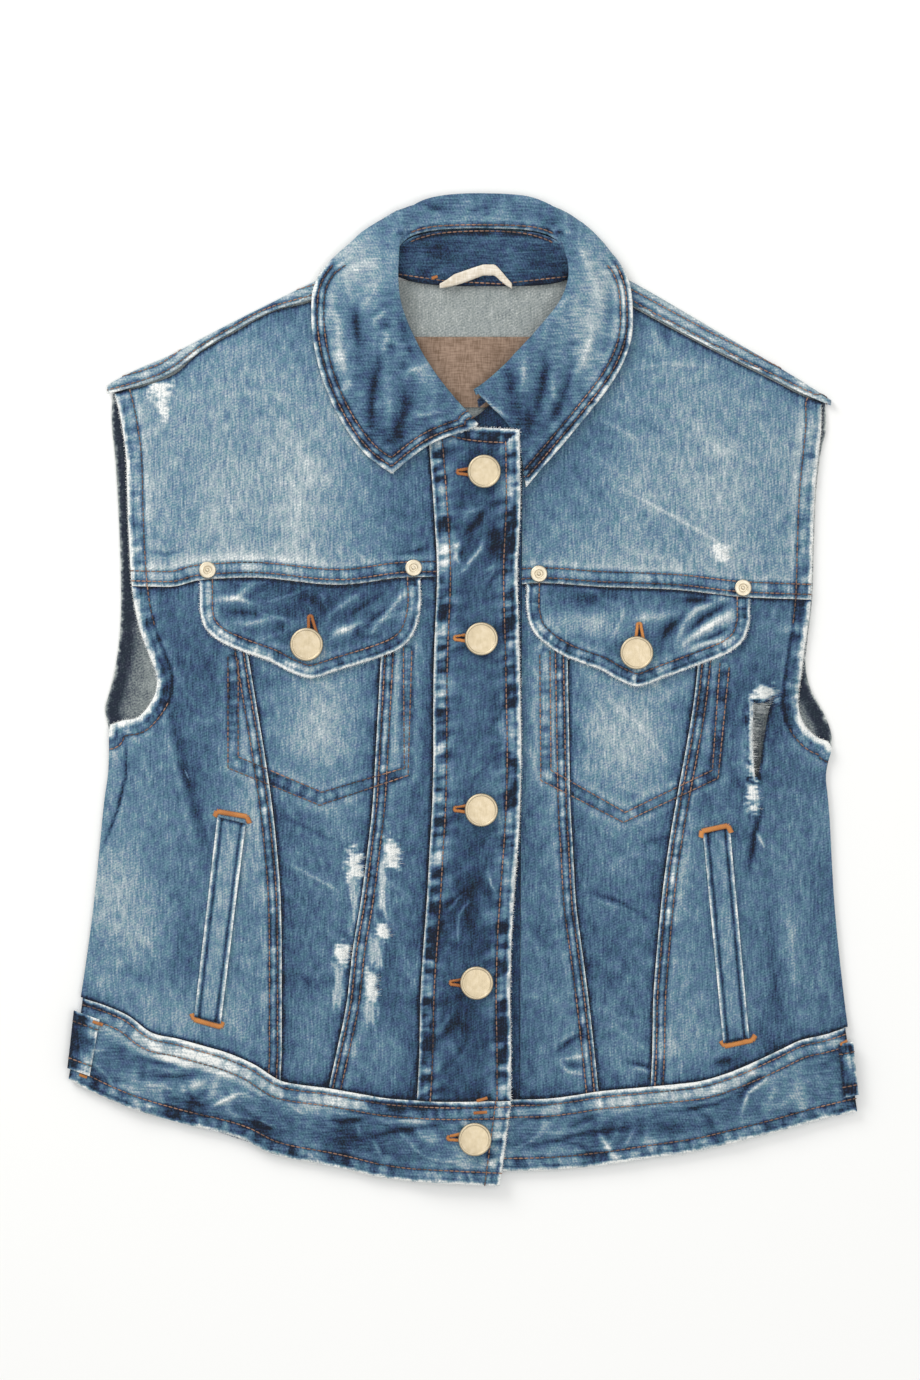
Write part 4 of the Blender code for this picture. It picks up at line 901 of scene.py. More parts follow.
# %% Relief, wear and painted shade of whole pieces
def crease_marks(points, path):
    """Share along a path and distance to it, for each point."""
    best, share = np.full(len(points), np.inf), np.zeros(len(points))
    path = np.array(path, float)
    lengths = np.linalg.norm(np.diff(path, axis=0), axis=1)
    start = 0.0
    for a, b, length in zip(path, path[1:], lengths):
        t = np.clip((points[:, :2] - a) @ (b - a) / length ** 2, 0, 1)
        away = np.linalg.norm(points[:, :2] - a - t[:, None] * (b - a), axis=1)
        closer = away < best
        best = np.where(closer, away, best)
        share = np.where(closer, (start + t * length) / lengths.sum(), share)
        start += length
    return share, best


def cos_sin(degrees):
    """Cosine and sine of an angle."""
    return math.cos(math.radians(degrees)), math.sin(math.radians(degrees))


def wrinkles(u, v, size, seed):
    """Thin uneven lines, drawn out along v, which come and go."""
    bent = u + 0.5 * size * field(u, v, 2 * size, 2 * size, seed + 1)
    shown = np.clip(0.45 + 1.8 * field(u, v, 1.8 * size, 2.4 * size, seed + 2), 0, 1)
    return shown * np.clip(1 - np.abs(field(bent, v, size, 2 * size, seed)) / 0.17, 0, 1) ** 1.2


def worn(points, node, tone, crumple, lean, seed):
    """Relief, wear, painted shade and bare patches of a piece apart from its edges, at places in the picture.
    """
    x, y = points[:, 0], points[:, 1]
    c, s = cos_sin(lean)
    u, v = s * x - c * y, c * x + s * y
    light, dark = wrinkles(u, v, CRUMPLE_SIZE, seed), wrinkles(u, v, 1.2 * CRUMPLE_SIZE, seed + 5)
    soft_folds = field(u, v, CRUMPLE_SIZE, 1.7 * CRUMPLE_SIZE, seed + 9)
    relief = crumple * (0.45 * light - 0.55 * dark + 0.4 * soft_folds)
    # low wrinkles are darker, partly from unworn dye and partly as painted shade
    wear = tone + crumple * (0.26 * light - 0.22 * dark + 0.16 * soft_folds)
    wear += 0.07 * field(x, y, MOTTLE, 1.6 * MOTTLE, seed + 11) + 0.07 * field(x, y, 3.2, 6.0, seed + 17)
    for fade_x, fade_y, across, up, amount in FADES.get(node, ()):
        wear = wear + amount * np.exp(-((x - fade_x) / across) ** 2 - ((y - fade_y) / up) ** 2)
    # a crease's tone: a ridge rubbed paler, a trough darker, partly from unworn dye and partly as painted
    # shade
    for width, height, tone_shift, *path in CREASES.get(node, ()):
        share, away = crease_marks(points, path)
        ends = np.sin(np.pi * np.clip(share, 0.03, 0.97))
        if height:
            mark = (0.8 * bell(away, width) + 0.4 * bell(away, 0.45 * width)) * ends ** 0.7
        else:  # a flat strip with an even tone
            mark = np.exp(-(away / width) ** 6) * ends ** 0.3
        relief, wear = relief + height * mark, wear + tone_shift * mark
    for outer, inner in POCKETS if node.startswith("front_") else ():
        share, away = crease_marks(points, (np.array(outer) + inner) / 2)
        rope, held = roping(300 * share, away, seed + 23), up_to(away, 3.2, 0.5)
        relief = relief + held * (0.2 + 0.22 * rope)
        # painted shade in the grooves of the two pocket rows
        wear = (wear + held * (0.18 * rope - 0.02) + 0.10 * bell(away - 5.5, 2.0)
                - 0.22 * bell(away - 2.6, 0.9))
    bare = np.zeros(len(points))
    for patch_x, patch_y, across, up, amount in PATCHES.get(node, ()):
        far = (((x - patch_x) / across) ** 4 + ((y - patch_y) / up) ** 4) ** 0.25
        ragged = field(x, y, 5.0, 1.5, 2.2) if amount > BARE_FROM else field(x, y, 1.6, 8.0, 2.2)
        bare = np.maximum(bare, amount * np.clip(1.8 * (1.15 - far + 0.8 * ragged), 0, 1))
    return relief, wear, bare


# %% Contours for stitch rows
def contour(points, faces, away, row):
    """Chains of places on a surface that lie just this far away."""
    low = away < row
    crossing = faces[(low[faces].sum(1) % 3) > 0]
    links, place = defaultdict(list), {}
    for face in crossing:
        ends = []
        for a, b in zip(face, np.roll(face, -1)):
            if low[a] != low[b]:
                key = (min(a, b), max(a, b))
                place[key] = points[a] + (row - away[a]) / (away[b] - away[a]) * (points[b] - points[a])
                ends.append(key)
        links[ends[0]].append(ends[1])
        links[ends[1]].append(ends[0])
    chains = []
    while links:
        start = next((key for key, ends in links.items() if len(ends) == 1), next(iter(links)))
        chain = [start]
        while chain[-1] in links:
            ends = links.pop(chain[-1])
            onward = [key for key in ends if key in links]
            if not onward:
                break
            chain.append(onward[0])
        chains.append(np.array([place[key] for key in chain]))
    return chains


def shown_runs(chain, keep):
    """Splits a chain where its points aren't kept."""
    runs, run = [], []
    for point, kept in zip(chain, keep):
        if kept:
            run.append(point)
        elif run:
            runs.append(run)
            run = []
    return [np.array(run) for run in runs + [run] if len(run) > 4]


# %% [markdown]
# ## Cutting and laying the cloth
# Now every piece is made by one loop. Its row gives the slot of its denim, how washed it is, how crumpled,
# which way its wrinkles and its threads run, how fine its mesh is and what it lies on.

# %% The cloth pieces
ClothRow = namedtuple("ClothRow", "slot tone crumple lean grain spacing rests_on")
CLOTH = {
    "back_panel": ClothRow("denim_wrong_side", 0.62, 0.0, 0, 0, 2.0, []),
    "waistband_back": ClothRow("washed_denim", 0.35, 0.2, 0, 90, 4.0, []),
    "front_yoke_left": ClothRow("faded_denim", 0.59, 0.18, 110, 0, 1.2, ["back_panel"]),
    "front_yoke_right": ClothRow("faded_denim", 0.565, 0.20, -35, 0, 1.2, ["back_panel"]),
    "front_side_left": ClothRow("washed_denim", 0.42, 0.35, 105, 0, 1.2, ["back_panel"]),
    "front_side_right": ClothRow("washed_denim", 0.41, 0.35, 80, 0, 1.2, ["back_panel"]),
    "front_mid_left": ClothRow("faded_denim", 0.43, 0.32, -25, 0, 1.2, ["back_panel"]),
    "front_mid_right": ClothRow("faded_denim", 0.43, 0.35, -30, 0, 1.2, ["back_panel"]),
    "front_center_left": ClothRow("washed_denim", 0.38, 0.40, 75, 0, 1.2, ["back_panel"]),
    "front_center_right": ClothRow("washed_denim", 0.37, 0.40, 100, 0, 1.2, ["back_panel"]),
    # the under placket shows only in the gap beside the band, so its dark tone is partly painted shade
    "placket_under": ClothRow("dark_denim", 0.16, 0.2, 90, 0, 1.6, ["back_panel"]),
    "placket_over": ClothRow("dark_denim", 0.26, 0.75, 55, 0, 0.95, ["placket_under"]),
    "waistband_left": ClothRow("washed_denim", 0.375, 1.0, -35, 90, 0.95, ["waistband_back"]),
    "waistband_right": ClothRow("washed_denim", 0.39, 1.0, 30, 90, 0.95, ["waistband_back"]),
    "flap_left": ClothRow("washed_denim", 0.36, 0.8, 20, 0, 0.85, ["front_mid_left"]),
    "flap_right": ClothRow("washed_denim", 0.39, 0.8, 35, 0, 0.85, ["front_mid_right"]),
    "welt_left": ClothRow("washed_denim", 0.60, 0.4, 80, 0, 1.0, ["front_side_left"]),
    "welt_right": ClothRow("washed_denim", 0.52, 0.5, 95, 0, 1.0, ["front_side_right"]),
    "hem_tab_left": ClothRow("washed_denim", 0.17, 0.6, 80, 0, 1.0, ["waistband_left"]),
    "hem_tab_right": ClothRow("washed_denim", 0.17, 0.6, 80, 0, 1.0, ["waistband_right"]),
    "neck_label": ClothRow("label_cloth", 0.5, 0.0, 0, 0, 3.0, ["back_panel"]),
}
# heights between which the armhole's stitch row rolls out of sight
ROW_GAPS = {"front_side_left": (-8, 36), "front_side_right": (-22, 37)}
FRAYING = ("worn", "bound", "frayed", "fringed", "hemmed")
STITCHES, FRINGES, BARE = [], [], []
SEED_STEP = 3.7
BARE_COTTON = 0.97
ROW_CLEAR = 0.7  # stitches keep this far from the rim
print("cloth pieces:", len(CLOTH))

# %% Thin shells
UNDERSIDE_SPACING, UNDERSIDE_WEAR = 9.0, 0.45
SHARP = math.radians(60)


def shell(sheet, points, wear, turn):
    """A closed thin mesh: the fine upper sheet, a plain underside and the rim between them."""
    rim = len(np.vstack(sheet.loops))
    under, under_faces = filled(sheet.loops, UNDERSIDE_SPACING)
    tree = BVHTree.FromPolygons([tuple(p) for p in sheet.points], [tuple(f) for f in sheet.faces])
    low = fallen(tree, under[rim:], np.vstack(sheet.loops)[:, 2])
    lower = np.column_stack([under, low - sheet.height])
    first = len(points)
    faces = [tuple(f) for f in sheet.faces] + [tuple(first + k for k in f[::-1]) for f in under_faces]
    start = 0
    for loop in sheet.loops:
        ring = [start + k for k in range(len(loop))]
        faces += [(first + a, first + b, b, a) for a, b in zip(ring, ring[1:] + ring[:1])]
        start += len(loop)
    everything = np.vstack([points, lower])
    mesh = bpy.data.meshes.new(sheet.node)
    mesh.from_pydata([tuple(p) for p in everything * MM], [], faces)
    paint(mesh, np.concatenate([np.clip(wear, 0, 1), np.full(len(lower), UNDERSIDE_WEAR)]), everything, turn)
    return mesh


def paint(mesh, wear, places, turn):
    """Stores wear with painted shade, and the grain's places, turned by an angle in degrees, on a mesh's
    points.
    """
    mesh.attributes.new("wear", "FLOAT", "POINT").data.foreach_set("value", wear.astype(np.float32))
    c, s = cos_sin(turn)
    x, y = places[:, 0] * MM, places[:, 1] * MM
    grain = np.column_stack([c * x + s * y, c * y - s * x, np.zeros(len(x))])
    threads = mesh.attributes.new("grain", "FLOAT_VECTOR", "POINT").data
    threads.foreach_set("vector", grain.astype(np.float32).ravel())
    mesh.shade_smooth()
    mesh.set_sharp_from_angle(angle=SHARP)


def declare(piece, node):
    """Hangs a piece on the one body and hides the node that it stands for."""
    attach(piece, "root")
    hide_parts(node)


def flat_area(loops):
    """Area inside an outline, holes left out, in square metres."""
    area = 0.0
    for loop in loops:
        x, y = loop[:, 0], loop[:, 1]
        area += 0.5 * float(x @ np.roll(y, -1) - y @ np.roll(x, -1))
    return area * MM * MM


# %% Laying the pieces
middle = np.array(PICTURE_MIDDLE) / MM
surfaces = {}
for seed, (node, row) in enumerate(CLOTH.items()):
    sheet = sheet_of(node, row.spacing)
    points, rim = sheet.points.copy(), np.vstack(sheet.loops)
    relief, wear, bare = worn(points - middle, node, row.tone, row.crumple, row.lean, SEED_STEP * seed)
    edges = EDGES.get(node, [])
    if node in EDGES and node != "back_panel":
        named = "".join(edge.sides for edge in edges)
        edges = edges + [Edge(side, "tucked") for side in "SENW" if side not in named]
        edges += [Edge("L", "worn"), Edge("R", "tucked")]
    rows, fringed = [], []
    for k, edge in enumerate(edges):
        marks = np.isin(sheet.sides, list(edge.sides)) & (rim[:, 1] > edge.low)
        if not marks.any():
            continue
        lift, rub_and_shade, away = edge_marks(points, rim[marks], sheet.runs[marks], edge, seed + 0.31 * k)
        relief, wear = relief + lift, wear + rub_and_shade
        gap = ROW_GAPS[node] if edge.finish == "frayed" else (0, 0)
        rows += [(away, offset, gap) for offset in edge.rows]
        if edge.finish in FRAYING:
            fringed.append(np.flatnonzero(marks))
    points[:, 2] += relief
    for marks in fringed:
        cuts = np.flatnonzero(np.diff(marks) > 1) + 1
        FRINGES.extend(points[part] for part in np.split(marks, cuts))
    wear = wear + bare * (BARE_COTTON - wear)
    BARE.append((points, sheet.faces[bare[sheet.faces].min(1) > BARE_FROM]))
    free = nearest(points, rim)[0]
    for away, offset, (low, high) in rows:
        for chain in contour(np.column_stack([points, free]), sheet.faces, away, offset):
            y = chain[:, 1] - middle[1]
            seen = (chain[:, 3] > ROW_CLEAR) & ((y < low) | (y > high))
            STITCHES.extend(run[:, :3] for run in shown_runs(chain, seen))
    piece = placed(f"{node}_cloth", shell(sheet, points, wear, row.grain))
    piece.data.materials.append(FINISH[row.slot])
    declare(piece, node)
    size = np.ptp(rim[:, :2], axis=0) * MM
    flat_area(sheet.loops)
    surfaces[node] = (points, sheet.faces)
    print(f"{node}: {len(points)} points, cut {size[0] * 1000:.0f} x {size[1] * 1000:.0f} mm")

# %% [markdown]
# ## Collar and shoulder strips
# A collar turns over on itself, so it can't be filled from above, and the shoulder strips roll over to the
# back. Their solids are copied instead, the triangles joined into quads and subdivided, which rounds the
# facets; the rim is creased so that it stays sharp. Relief then moves each point along its own normal. Each
# piece has one rim at the seam to its neighbour and one that is free. At the back of the neck the stand is
# drawn out to the leaf, so that no gap shows between them, and its lower edge is let down to the neck seam.

# %% Collar and shoulder strips
# a rim within reach of the neighbour is the seam; length is that of the cut, in metres
SoftRow = namedtuple("SoftRow", "slot tone crumple lean neighbour reach seam free length levels")
STAND_SEAM = Edge("", "folded", (1.9,))
SHOULDER_SEAM = Edge("", "bound", (2.3, 7.2), 0.06, rope=0.5)
PLAIN = Edge("", "plain")
COLLAR_EDGE = Edge("", "fringed", (3.2, 6.8), -0.06, rope=0.9)
TUCKED = Edge("", "tucked")
SOFT = {
    "collar_stand": SoftRow("washed_denim", 0.205, 0.6, 0, "collar_leaf", 6.0, STAND_SEAM, TUCKED, 0.28, 2),
    "collar_leaf": SoftRow("washed_denim", 0.395, 0.45, 85, "collar_stand", 13.0, STAND_SEAM, COLLAR_EDGE,
                           0.42, 3),
    "shoulder_left": SoftRow("faded_denim", 0.635, 0.3, 30, "front_yoke_left", 3.5, SHOULDER_SEAM, PLAIN,
                             0.16, 2),
    "shoulder_right": SoftRow("faded_denim", 0.62, 0.3, -30, "front_yoke_right", 3.5, SHOULDER_SEAM, PLAIN,
                              0.15, 2),
}
COLLAR_TURN = 228.0  # the free edge goes behind the neck above this
SEAM_SHOWN = {"collar_leaf": 245.0, "collar_stand": 240.0}  # their seam shows only above this
FRONT_END = 143.5  # below this every rim of the leaf is free
NECK_MIDDLE = np.array((6.0, 190.0))
NECK_RADIUS = 70.0
NECK_BACK = 234.0  # above this the stand's upper edge is drawn out to the leaf
DRAWN_OUT = 1.6
# x along the neck seam, and how far it hangs down there
NECK_SEAM = ((-42, -33, -10, 40, 58, 66), (0, 1.2, 2.9, 3.0, 2.5, 0))
NECK_SEAM_ABOVE = 212.0
# where the leaf's edge is out of sight beside the button band
HIDDEN_WEST, HIDDEN_EAST, HIDDEN_SOUTH, HIDDEN_NORTH = 15, 36, 112, 152
FACES_UP = 0.15
SHORTEST_ROW = 6
QUAD_BEND, QUAD_SKEW = math.radians(20), math.radians(50)  # how bent and how skewed a joined quad may be
RIM_TURN, FINE_RIM_TURN = math.radians(50), math.radians(40)  # faces meet at more than this on a rim
print("strips:", sorted(SOFT))


# %% The two edges of the stand
def let_down(places, rim):
    """Places near the stand's lower edge, moved down to where the neck seam hangs."""
    moved = places.copy()
    moved[:, 1] -= np.interp(places[:, 0], *NECK_SEAM) * bell(nearest(places, rim)[0], 6.0)
    return moved


def drawn_out(places, rim):
    """Places near the stand's upper edge, moved out to the leaf at the back of the neck."""
    outward = places[:, :2] - NECK_MIDDLE
    share = bell(nearest(places, rim)[0], 4.0) * up_to(-places[:, 1], -NECK_BACK, 2.0)
    moved = places.copy()
    moved[:, :2] += DRAWN_OUT * (share / np.linalg.norm(outward, axis=1))[:, None] * outward
    return moved


# %% Smooth copies of solids
def evaluated(holder):
    """A plain mesh of an object as its modifiers leave it."""
    return bpy.data.meshes.new_from_object(holder.evaluated_get(bpy.context.evaluated_depsgraph_get()))


def softened(node, levels):
    """A smooth fine mesh of a node in millimetres, with the places of its sharp edges."""
    wall = wall_of(node)
    bmesh.ops.join_triangles(wall, faces=wall.faces, angle_face_threshold=QUAD_BEND,
                             angle_shape_threshold=QUAD_SKEW)
    crease = wall.edges.layers.float.new("crease_edge")
    for edge in wall.edges:
        if edge.calc_face_angle(0.0) > RIM_TURN:
            edge[crease] = 1.0
    holder = placed(node, bpy.data.meshes.new(node))
    wall.to_mesh(holder.data)
    wall.free()
    holder.modifiers.new("rounding", "SUBSURF").levels = levels
    mesh = evaluated(holder)
    bpy.data.objects.remove(holder)
    fine = bmesh.new()
    fine.from_mesh(mesh)
    sharp = [edge for edge in fine.edges if edge.calc_face_angle(0.0) > FINE_RIM_TURN]
    rim = np.array([(edge.verts[0].co + edge.verts[1].co) / 2 for edge in sharp])
    fine.free()
    if "crease_edge" in mesh.attributes:
        mesh.attributes.remove(mesh.attributes["crease_edge"])
    return mesh, rim


def vectors(rows, name):
    """A vector of each of a mesh's points, as an array."""
    values = np.empty(len(rows) * 3, np.float32)
    rows.foreach_get(name, values)
    return values.reshape(-1, 3).astype(float)


# %% Dressing the strips
soft = {node: softened(node, row.levels) for node, row in SOFT.items()}
for seed, (node, row) in enumerate(SOFT.items(), 40):
    mesh, rim = soft[node]
    points, normals = vectors(mesh.vertices, "co"), vectors(mesh.vertex_normals, "vector")
    beside = soft[row.neighbour][1] if row.neighbour in soft else surfaces[row.neighbour][0]
    seam = nearest(rim, beside)[0] < row.reach
    if node == "collar_leaf":
        seam &= rim[:, 1] > FRONT_END
    if node == "collar_stand":
        upper, neck_rim = rim[seam], rim[~seam & (rim[:, 1] > NECK_SEAM_ABOVE)]
        points, rim = (let_down(drawn_out(places, upper), neck_rim) for places in (points, rim))
    turn = np.arctan2(rim[:, 0] - NECK_MIDDLE[0], rim[:, 1] - NECK_MIDDLE[1]) * NECK_RADIUS
    if node.startswith("shoulder"):
        turn = rim[:, 0]
    relief, wear, _ = worn(points - middle, node, row.tone, row.crumple, row.lean, SEED_STEP * seed)
    mesh.calc_loop_triangles()
    faces = np.array([t.vertices for t in mesh.loop_triangles])
    faces = faces[normals[faces].mean(1)[:, 2] > FACES_UP]
    x, y = (rim - middle)[:, :2].T
    hidden = (x > HIDDEN_WEST) & (x < HIDDEN_EAST) & (y > HIDDEN_SOUTH) & (y < HIDDEN_NORTH)
    hidden &= node == "collar_leaf"
    for marks, edge in ((~seam & ~hidden, row.free), (seam, row.seam)):
        shown = np.ones(len(points))
        if node == "collar_leaf" and edge is row.free:
            shown = up_to(points[:, 1], COLLAR_TURN, 2.0)
        elif node in SEAM_SHOWN and edge is row.seam:
            shown = up_to(-points[:, 1], -SEAM_SHOWN[node], 1.0)
        lift, rub_and_shade, away = edge_marks(points, rim[marks], turn[marks], edge, seed + 0.5)
        relief, wear = relief + 0.6 * lift * shown, wear + rub_and_shade * shown
        seen = faces[shown[faces].min(1) > 0.5]
        for offset in edge.rows:
            chains = contour(points + 0.1 * normals, seen, away, offset)
            STITCHES.extend(chain for chain in chains if len(chain) > SHORTEST_ROW)
        for chain in contour(points, seen, away, 0.4) if edge is COLLAR_EDGE else ():
            (x0, y0), (x1, y1) = (chain[[0, -1], :2] - middle[:2] - NECK_MIDDLE)
            FRINGES.append(chain if x0 * y1 > x1 * y0 else chain[::-1])
    points = points + relief[:, None] * normals * (0.25 + 0.75 * (normals[:, 2:] > 0))
    mesh.vertices.foreach_set("co", (points * MM).astype(np.float32).ravel())
    paint(mesh, np.clip(wear, 0, 1), points, 90)
    piece = placed(f"{node}_cloth", mesh)
    mesh.materials.append(FINISH[row.slot])
    declare(piece, node)
    surfaces[node] = (points, faces)

# %% [markdown]
# ## Topstitching
# The rows found on the sheets are lines. A Geometry Nodes tree turns a line into stitches: it cuts it into
# equal steps, puts a bead of thread at each, turns it along the line and flattens it. The same tree with a
# short step and a quarter turn packs thread side by side, which is what a bar tack or a buttonhole is.

# %% Helpers for trees
def tree_with(name, sockets):
    """A new geometry tree with named inputs, and the outputs of its group input node."""
    tree = bpy.data.node_groups.new(name, "GeometryNodeTree")
    for label, kind in {"Geometry": "NodeSocketGeometry", **sockets}.items():
        tree.interface.new_socket(label, in_out="INPUT", socket_type=kind)
    tree.interface.new_socket("Geometry", in_out="OUTPUT", socket_type="NodeSocketGeometry")
    return tree, add(tree, "NodeGroupInput").outputs


def close_tree(tree, instances, material):
    """Ends a tree: instances made real, smooth and given their material."""
    real = add(tree, "GeometryNodeRealizeInstances", {0: instances})
    smooth = add(tree, "GeometryNodeSetShadeSmooth", {0: real.outputs[0]})
    done = add(tree, "GeometryNodeSetMaterial", {"Geometry": smooth.outputs[0], "Material": material})
    add(tree, "NodeGroupOutput", {0: done.outputs[0]})


def grown(name, tree, mesh, **values):
    """A plain mesh piece that a tree grows on a mesh."""
    piece = placed(name, mesh)
    modifier = piece.modifiers.new(tree.name, "NODES")
    modifier.node_group = tree
    for socket in tree.interface.items_tree:
        if socket.in_out == "INPUT" and socket.name in values:
            modifier[socket.identifier] = values[socket.name]
    made = evaluated(piece)
    piece.modifiers.clear()
    piece.data = made
    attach(piece, "root")
    print(f"{name}: {len(made.polygons)} faces")
    return piece


def lines(name, chains):
    """A mesh of open lines through chains of places in millimetres."""
    edges, first = [], 0
    for chain in chains:
        edges += [(first + k, first + k + 1) for k in range(len(chain) - 1)]
        first += len(chain)
    mesh = bpy.data.meshes.new(name)
    mesh.from_pydata([tuple(p) for p in np.vstack(chains) * MM], edges, [])
    return mesh


def stepped(tree, given):
    """Equal steps along the lines that a tree is given."""
    run = add(tree, "GeometryNodeMeshToCurve", {0: given["Geometry"]})
    return add(tree, "GeometryNodeCurveToPoints", {"Curve": run.outputs[0], "Length": given["Pitch"]},
               mode="LENGTH")


# %% A tree of stitches
STITCH_PITCH = 2.9
FLOAT = "NodeSocketFloat"
stitching, given = tree_with("stitching", {"Pitch": FLOAT, "Length": FLOAT, "Width": FLOAT, "Turn": FLOAT,
                                           "Material": "NodeSocketMaterial"})
steps = stepped(stitching, given)
bead = add(stitching, "GeometryNodeMeshUVSphere", {"Segments": 6, "Rings": 3, "Radius": 0.5})
size = add(stitching, "ShaderNodeCombineXYZ", {
    "X": given["Length"], "Y": given["Width"], "Z": given["Width"]})
along = add(stitching, "FunctionNodeAlignRotationToVector", {"Vector": steps.outputs["Tangent"]}, axis="X")
quarter = add(stitching, "ShaderNodeCombineXYZ", {"Z": given["Turn"]})
turned = add(stitching, "FunctionNodeEulerToRotation", {0: quarter.outputs[0]})
aimed = add(stitching, "FunctionNodeRotateRotation", {
    "Rotation": along.outputs[0], "Rotate By": turned.outputs[0]}, rotation_space="LOCAL")
sewn = add(stitching, "GeometryNodeInstanceOnPoints", {
    "Points": steps.outputs["Points"], "Instance": bead.outputs["Mesh"], "Rotation": aimed.outputs[0],
    "Scale": size.outputs[0]})
close_tree(stitching, sewn.outputs[0], given["Material"])
print("stitching:", len(stitching.nodes), "nodes")

# %% [markdown]
# The patch pockets on the chest are sewn from behind, so only two rows of stitching show. They are drawn as
# paths and dropped onto the finished cloth, and so are bar tacks and buttonholes.

# %% Paths on the cloth
everything, all_faces, first = [], [], 0
for points, faces in surfaces.values():
    everything += [tuple(p) for p in points]
    all_faces += [tuple(first + k for k in face) for face in faces]
    first += len(points)
top_of = BVHTree.FromPolygons(everything, all_faces)


def dropped(path, step, lift):
    """A path from the middle of the picture, in short steps on top of the cloth."""
    path = np.array(path, float) + middle[:2]
    found = []
    for a, b in zip(path, path[1:]):
        for t in np.arange(0, 1, step / max(np.linalg.norm(b - a), step)):
            x, y = a + t * (b - a)
            z = plumb(top_of, x, y)
            if z is not None:
                found.append((x, y, z + lift))
    return np.array(found)


# %% Tacks and buttonholes
TACKS = [
    ((-132, -68), (-130.9, -65.4), (-114.8, -68.2), (-113.4, -71.7)),
    ((-144.4, -174.6), (-143, -177.6), (-128.8, -181.6), (-127.9, -178.6)),
    ((129.8, -79.2), (130.2, -76), (144.2, -73), (146, -76.6)),
    ((140.8, -189.2), (142.8, -191.8), (157.6, -188.6), (159, -186)),
]
SHORT_TACKS = [  # at the tabs, the foot of the button band and the hanger loop
    ((-197.5, -178.5), (-192.5, -180.5)), ((-205, -207.3), (-201, -208.7)), ((205, -191), (209, -189)),
    ((8, -221.5), (14.5, -219.5)), ((7.5, -227.5), (14.5, -227)), ((-15, 222), (-12, 223)),
]
KeyholeRow = namedtuple("KeyholeRow", "x y degrees")
KEYHOLES = [
    KeyholeRow(-0.4, 117.4, 0), KeyholeRow(-2.0, 28.0, 0), KeyholeRow(-2.0, -64.0, 0),
    KeyholeRow(-4.2, -157.5, 0), KeyholeRow(-5.6, -241.0, 4), KeyholeRow(-80.6, 39.0, -82),
    KeyholeRow(96.4, 35.0, -88),
]
EYELET_RADIUS = 1.1
SLIT_LENGTH, SLIT_SPREAD = 8.5, 2.2


def keyhole(row):
    """Path round a buttonhole: an eyelet and the two sides of its slit, which run towards the button."""
    angles = np.linspace(math.radians(60), math.radians(300), 12)
    eyelet = [(EYELET_RADIUS * math.cos(a), EYELET_RADIUS * math.sin(a)) for a in angles]
    path = [(SLIT_LENGTH, SLIT_SPREAD)] + eyelet + [(SLIT_LENGTH, -SLIT_SPREAD)]
    c, s = cos_sin(row.degrees)
    return [(row.x + c * u - s * v, row.y + s * u + c * v) for u, v in path]


# %% Sewing
NECK_ROW = ((-32.3, 224), (-8, 220.5), (21.5, 219), (57.2, 222.8))
rows = STITCHES + [dropped(NECK_ROW, 1.0, 0.1)]
rows += [dropped(path, 1.0, 0.0) for pair in POCKETS for path in pair]
grown("topstitching", stitching, lines("topstitching", rows), Pitch=STITCH_PITCH * MM, Length=3.2 * MM,
      Width=0.85 * MM, Turn=0.0, Material=RUST)
tacks = [dropped(path, 0.4, 0.0) for path in TACKS]
for tack in tacks:
    chord = np.linspace(tack[0, 2], tack[-1, 2], len(tack))
    tack[:, 2] = chord + (tack[:, 2] - chord).max() + 0.1
grown("bar_tacks", stitching, lines("bar_tacks", tacks), Pitch=0.5 * MM, Length=3.8 * MM, Width=0.8 * MM,
      Turn=math.radians(80), Material=ORANGE)
holes = [dropped(path, 0.4, 0.2) for path in [keyhole(row) for row in KEYHOLES] + SHORT_TACKS]
grown("buttonholes", stitching, lines("buttonholes", holes), Pitch=0.45 * MM, Length=2.3 * MM,
      Width=0.65 * MM, Turn=math.radians(90), Material=ORANGE)

# %% [markdown]
# ## Frayed edges and bare weft
# Free edges have lost their outer threads: short ends of white weft stand out all along them. Another tree
# plants a curved thread at random steps along an edge, leaning outwards. Where the warp has been rubbed
# away, the white weft lies bare in short horizontal floats; the last tree scatters those over patches of
# the finished cloth and across the rip.

# %% Trees of loose threads
def curved_thread(tree, radius):
    """A thin curved thread one unit long, along X."""
    path = add(tree, "GeometryNodeCurveQuadraticBezier", {
        "Resolution": 3, "Start": (0, 0, 0), "Middle": (0.5, 0.16, 0.1), "End": (1, -0.06, 0)})
    section = add(tree, "GeometryNodeCurvePrimitiveCircle", {"Resolution": 3, "Radius": radius})
    return add(tree, "GeometryNodeCurveToMesh", {
        "Curve": path.outputs[0], "Profile Curve": section.outputs[0]})


def planted(tree, points, aim, turn, lengths, radius, seed):
    """Threads at points, aimed by a rotation and turned at random, of random lengths."""
    lean = add(tree, "FunctionNodeRandomValue", {0: turn[0], 1: turn[1], "Seed": seed},
               data_type="FLOAT_VECTOR")
    swing = add(tree, "FunctionNodeEulerToRotation", {0: lean.outputs[0]})
    spun_round = add(tree, "FunctionNodeRotateRotation", {"Rotation": aim, "Rotate By": swing.outputs[0]},
                     rotation_space="LOCAL")
    length = add(tree, "FunctionNodeRandomValue", {
        0: (lengths[0], MM, MM), 1: (lengths[1], MM, MM), "Seed": seed + 1}, data_type="FLOAT_VECTOR")
    return add(tree, "GeometryNodeInstanceOnPoints", {
        "Points": points, "Instance": curved_thread(tree, radius).outputs[0],
        "Rotation": spun_round.outputs[0], "Scale": length.outputs[0]})


